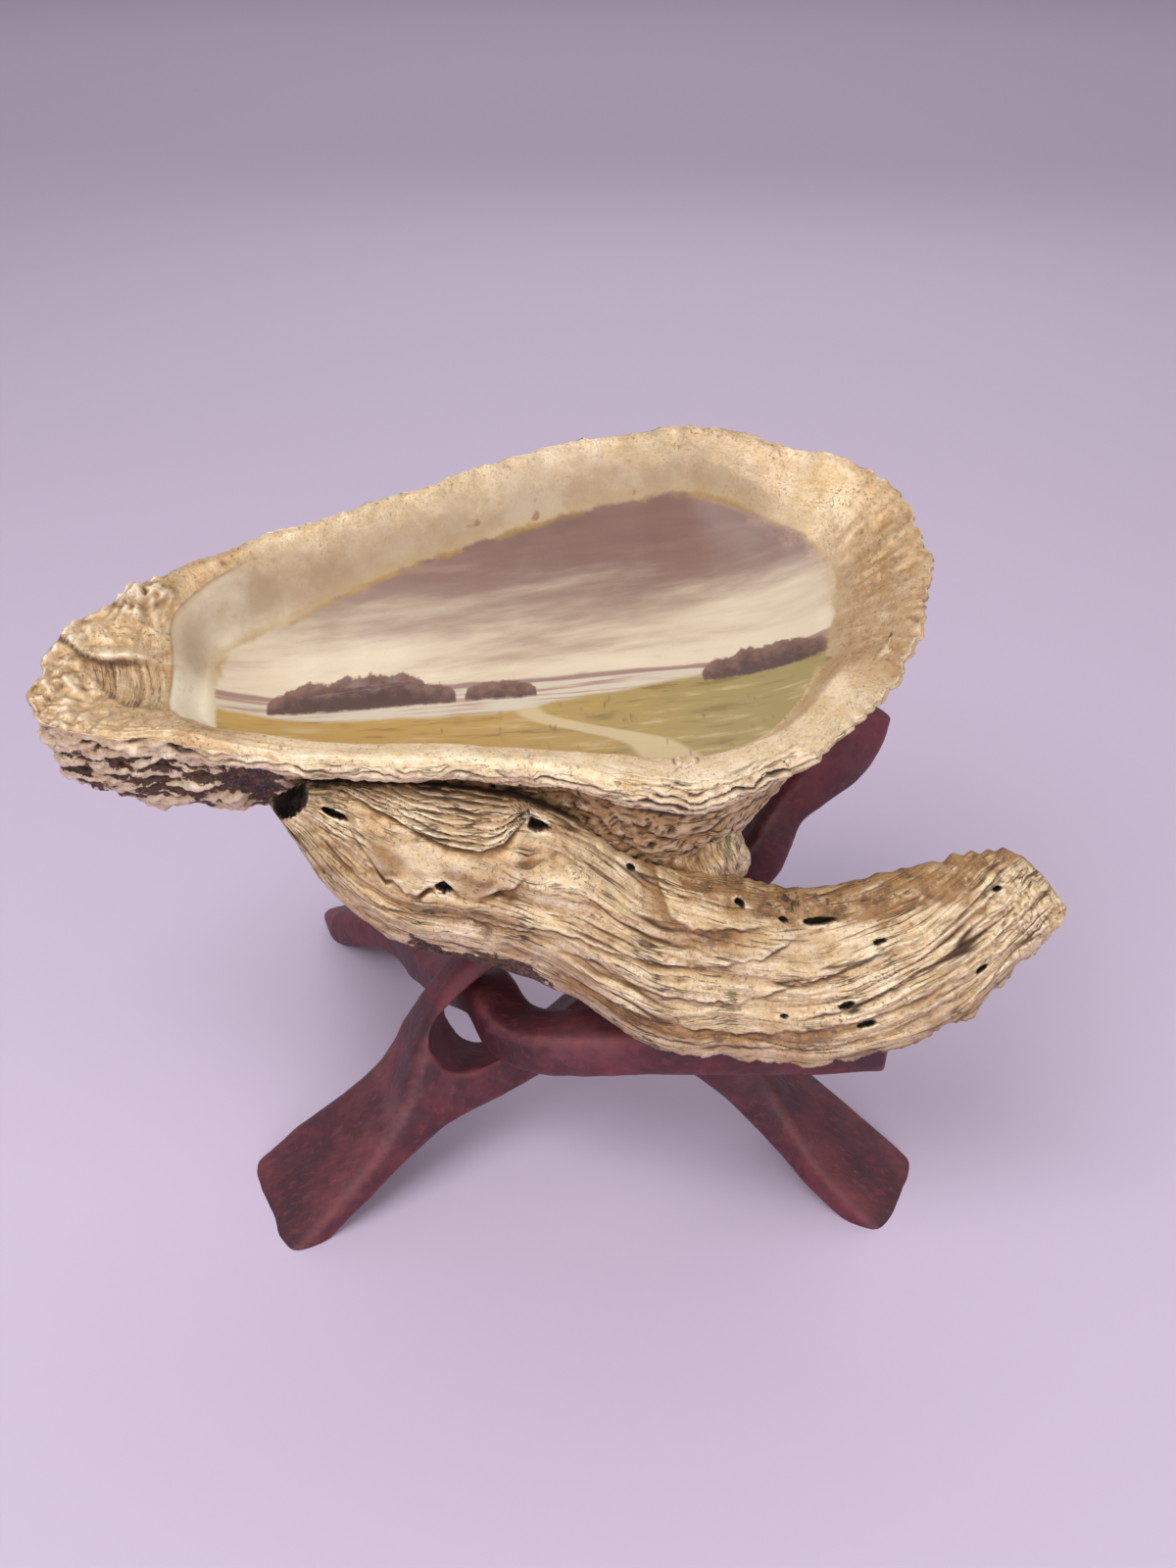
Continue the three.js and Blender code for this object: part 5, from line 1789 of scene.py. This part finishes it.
@dataclass
class CarvedLeg:
    """A stand leg: a carved bar of soft square section, cut flat under its foot.

    A slot for legs that pass through is given by its row on the path, its length, its opening and its
    shift across the bar. It may lean along and across the bar.
    """

    name: str
    across: Triple
    foot_across: Triple
    slot: tuple[float, float, float, float] | None
    seed: int
    slot_lean: tuple[float, float] = (0.0, 0.0)
    sides: int = 56
    steps: int = 22
    squareness: float = 4.5
    foot_rows: tuple[float, float] = (1.2, 2.8)
    tip_length: float = 1.5
    tip_rings: int = 5
    tip_rounding: float = 0.9
    tip_end: float = 1.05
    run_span: float = 0.15
    voxel: float = 0.75
    smoothing: int = 5
    smoothing_share: float = 0.5
    chisel: float = 0.7
    edge_passes: int = 5
    edge_percentile: float = 98.0
    slot_sides: int = 72
    slot_roundness: float = 0.7

    def frame_at(self, position: Array) -> tuple[Array, Array, Array, Array, Array]:
        """Centre, run, width and depth directions, and half sizes along the path.

        Args:
            position: Places along the path, in rows.

        Returns:
            One row of each for every place.
        """
        rows = np.array(LEGS[self.name], float)
        last = len(rows) - 1
        read = rows_at(rows, position, False)

        def centre(at: Array) -> Array:
            """Middle of the bar."""
            return rows_at(rows, np.clip(at, 0, last), False)[:, :3]

        run = centre(position + self.run_span) - centre(position - self.run_span)
        run /= np.linalg.norm(run, axis=1, keepdims=True)
        above_foot = ramp(position, *self.foot_rows)[:, None]
        side = lerp(np.array(self.foot_across), np.array(self.across), above_foot)
        width = side - run * np.sum(run * side, axis=1)[:, None]
        width /= np.linalg.norm(width, axis=1, keepdims=True)
        return read[:, :3], run, width, np.cross(run, width), read[:, 3:]

    def bar(self) -> Piece:
        """The plain bar before it is cut."""
        last = len(LEGS[self.name]) - 1
        position = np.linspace(0, last, last * self.steps + 1)
        centre, run, width, depth, half = self.frame_at(position)
        turn = 2 * np.pi * np.arange(self.sides) / self.sides
        wide = squared(np.cos(turn), self.squareness) * half[:, :1]
        thick = squared(np.sin(turn), self.squareness) * half[:, 1:]
        grid = centre[:, None] + wide[..., None] * width[:, None] + thick[..., None] * depth[:, None]
        tips = []
        for share in np.linspace(0, 1, self.tip_rings + 1)[1:]:
            scale = math.sqrt(1 - self.tip_rounding * share**2)
            tips.append(centre[-1] + (grid[-1] - centre[-1]) * scale + run[-1] * self.tip_length * share)
        grid = np.concatenate((grid, np.array(tips)))
        ends = (centre[0], centre[-1] + run[-1] * self.tip_length * self.tip_end)
        return skin(self.name + "_carved", grid, ends, {})

    def cutter(self) -> Piece:
        """The long rounded slot that another leg passes through."""
        row, length, opening, shift = self.slot
        centre, run, width, depth, _ = (value[0] for value in self.frame_at(np.array((row,))))
        turn = 2 * np.pi * np.arange(self.slot_sides) / self.slot_sides
        around = np.stack((np.cos(turn), np.sin(turn)))
        long, wide = np.sign(around) * np.abs(around) ** self.slot_roundness
        centre = centre - width * shift
        outline = long[:, None] * run * length / 2 + wide[:, None] * width * opening / 2
        through = depth + run * self.slot_lean[0] + width * self.slot_lean[1]
        grid = np.array([centre + outline + through * reach for reach in (-2 * opening, 2 * opening)])
        return skin(self.name + "_slot", grid, (grid[0].mean(axis=0), grid[1].mean(axis=0)), {})

    def build(self) -> Piece:
        """Make the leg's mesh.

        Returns:
            The piece, in place.
        """
        piece = self.bar()
        if self.slot:
            cut = self.cutter()
            made = piece.modifiers.new("slot", "BOOLEAN")
            made.operation, made.solver, made.object = "DIFFERENCE", "EXACT", cut
            bake_modifiers(piece)
            bpy.data.objects.remove(cut)
        remesh = piece.modifiers.new("even", "REMESH")
        remesh.mode, remesh.voxel_size = "VOXEL", self.voxel * MM
        soften = piece.modifiers.new("soften", "SMOOTH")
        soften.iterations, soften.factor = self.smoothing, self.smoothing_share
        bake_modifiers(piece)
        self.carve(piece.data)
        self.stand(piece.data)
        return piece

    def carve(self, mesh: bpy.types.Mesh) -> None:
        """Give the bar the shallow flats of a knife and mark its worn edges."""
        noise = GrownNoise(self.seed)
        count = len(mesh.vertices)
        points, normals = np.zeros(count * 3), np.zeros(count * 3)
        mesh.vertices.foreach_get("co", points)
        mesh.vertices.foreach_get("normal", normals)
        points, normals = points.reshape(-1, 3) / MM, normals.reshape(-1, 3)
        flats = (0.3 - np.abs(noise.at(points / 17))) * self.chisel + 0.12 * noise.at(points / 4.5)
        points = points + normals * (flats - 0.25)[:, None]
        ends = np.zeros(len(mesh.edges) * 2, int)
        mesh.edges.foreach_get("vertices", ends)
        a, b = ends.reshape(-1, 2).T
        total, number = np.zeros((count, 3)), np.zeros(count)
        for here, there in ((a, b), (b, a)):
            np.add.at(total, here, points[there])
            np.add.at(number, here, 1)
        bend = np.sum((points - total / np.maximum(number, 1)[:, None]) * normals, axis=1)
        for _ in range(self.edge_passes):
            spread, weight = bend.copy(), np.ones(count)
            for here, there in ((a, b), (b, a)):
                np.add.at(spread, here, bend[there])
                np.add.at(weight, here, 1)
            bend = spread / weight
        edge = unit(bend / np.percentile(bend, self.edge_percentile))
        mesh.vertices.foreach_set("co", (points * MM).ravel())
        attribute = mesh.attributes.new(Mark.EDGE.value, "FLOAT", "POINT")
        attribute.data.foreach_set("value", edge.astype(np.float32))

    def stand(self, mesh: bpy.types.Mesh) -> None:
        """Cut the foot flat on the floor."""
        shaped = bmesh.new()
        shaped.from_mesh(mesh)
        everything = shaped.verts[:] + shaped.edges[:] + shaped.faces[:]
        cut = bmesh.ops.bisect_plane(
            shaped, geom=everything, plane_co=(0, 0, 0), plane_no=(0, 0, -1), clear_outer=True)
        rim = [item for item in cut["geom_cut"] if isinstance(item, bmesh.types.BMEdge)]
        bmesh.ops.holes_fill(shaped, edges=rim, sides=0)
        bmesh.ops.recalc_face_normals(shaped, faces=shaped.faces)
        shaped.to_mesh(mesh)
        shaped.free()
        mesh.polygons.foreach_set("use_smooth", np.ones(len(mesh.polygons), bool))


def bake_modifiers(piece: Piece) -> None:
    """Apply a piece's modifiers to its mesh."""
    bpy.context.view_layer.update()
    graph = bpy.context.evaluated_depsgraph_get()
    baked = bpy.data.meshes.new_from_object(piece.evaluated_get(graph))
    piece.modifiers.clear()
    old = piece.data
    piece.data = baked
    bpy.data.meshes.remove(old)


@dataclass(frozen=True)
class PhotoCamera:
    """The camera, in front of the cup and above it."""

    focal_px: float = 1500.0
    image_px: tuple[int, int] = (1200, 1600)
    elevation: float = 32.0
    distance: float = 300.0
    target: Triple = (0.0, 0.0, 90.0)
    sensor: float = 36.0
    clip: tuple[float, float] = (0.01, 50.0)

    def build(self) -> None:
        """Make it the scene's camera."""
        data = bpy.data.cameras.new("camera")
        data.sensor_width = self.sensor
        data.lens = self.sensor * self.focal_px / max(self.image_px)
        data.clip_start, data.clip_end = self.clip
        camera = bpy.data.objects.new("camera", data)
        bpy.context.scene.collection.objects.link(camera)
        bpy.context.scene.camera = camera
        rise = math.radians(self.elevation)
        ahead = Vector((0.0, math.cos(rise), -math.sin(rise)))
        aim = Vector((np.array(self.target) + PLACE) * MM)
        camera.location = aim - ahead * self.distance * MM
        camera.rotation_mode = "QUATERNION"
        camera.rotation_quaternion = ahead.to_track_quat("-Z", "Y")


@dataclass(frozen=True)
class SoftLight:
    """One soft box: place and aim in metres, size and power."""

    name: str
    place: Triple
    aim: Triple
    size: float
    power: float


@dataclass(frozen=True)
class Studio:
    """Plain floor and soft light around the object."""

    floor_half: float = 8.0
    sky: Colour = (0.92, 0.90, 0.94)
    sky_strength: float = 0.38
    view: str = "Standard"
    lights: tuple[SoftLight, ...] = (
        SoftLight("key_light", (-0.30, -0.35, 0.80), (0.0, 0.0, 0.08), 0.6, 5.0),
        SoftLight("fill_light", (0.75, -0.45, 0.45), (0.0, 0.0, 0.08), 0.7, 1.6),
        SoftLight("front_light", (0.15, -0.95, 0.40), (0.0, 0.0, 0.08), 0.7, 3.0),
        SoftLight("back_light", (0.1, 0.8, 0.7), (0.0, 0.0, 0.1), 0.8, 1.4),
        SoftLight("far_light", (0.0, 2.2, 1.8), (0.0, 2.0, 0.0), 2.5, 11.0),
    )

    def build(self, finish: FloorFinish) -> None:
        """Make the floor, the lights and the surrounding light.

        Args:
            finish: Finish of the floor.
        """
        mesh = bpy.data.meshes.new("floor")
        half = self.floor_half
        corners = [(-half, -half, 0), (half, -half, 0), (half, half, 0), (-half, half, 0)]
        mesh.from_pydata(corners, [], [(0, 1, 2, 3)])
        mesh.materials.append(finish.build())
        floor = bpy.data.objects.new("floor", mesh)
        bpy.context.scene.collection.objects.link(floor)
        for light in self.lights:
            data = bpy.data.lights.new(light.name, "AREA")
            data.size, data.energy = light.size, light.power
            lamp = bpy.data.objects.new(light.name, data)
            lamp.location = light.place
            lamp.rotation_mode = "QUATERNION"
            lamp.rotation_quaternion = (Vector(light.aim) - Vector(light.place)).to_track_quat("-Z", "Y")
            bpy.context.scene.collection.objects.link(lamp)
        world = bpy.data.worlds.new("studio")
        bpy.context.scene.world = world
        world.use_nodes = True
        background = world.node_tree.nodes["Background"]
        background.inputs["Color"].default_value = (*self.sky, 1.0)
        background.inputs["Strength"].default_value = self.sky_strength
        bpy.context.scene.view_settings.view_transform = self.view


def main() -> None:
    """Build the studio, the shell and the stand."""
    logging.basicConfig(level=logging.INFO, format="%(message)s")
    PhotoCamera().build()
    Studio().build(FloorFinish())
    speckle = Speckle()
    gilding = Gilding(speckle)

    upper = UpperValve()
    settle(upper.build(), "oyster_shell", CupFinish().build(upper, gilding, speckle))
    lower_finish = LowerFinish().build(gilding)
    settle(LowerValve().build(), "oyster_shell", lower_finish)
    settle(ShellNeck().build(), "oyster_shell", lower_finish)

    wood = WoodFinish().build(speckle)
    legs = (
        CarvedLeg("stand_leg_front_left", (0.5, 0.05, -0.86), (0.53, 0.25, -0.81),
                  slot=(3.72, 40.0, 20.0, 1.8), seed=41, slot_lean=(0.22, 0.42)),
        CarvedLeg("stand_leg_front_right", (0.0, -0.91, 0.41), (-0.40, -0.92, -0.03),
                  slot=(4.0, 46.0, 21.0, 0.0), seed=43),
        CarvedLeg("stand_leg_back_left", (0.0, 0.0, 1.0), (0.0, 0.0, 1.0), slot=None, seed=47),
    )
    for leg in legs:
        settle(leg.build(), leg.name, wood)


if __name__ == "__main__":
    main()
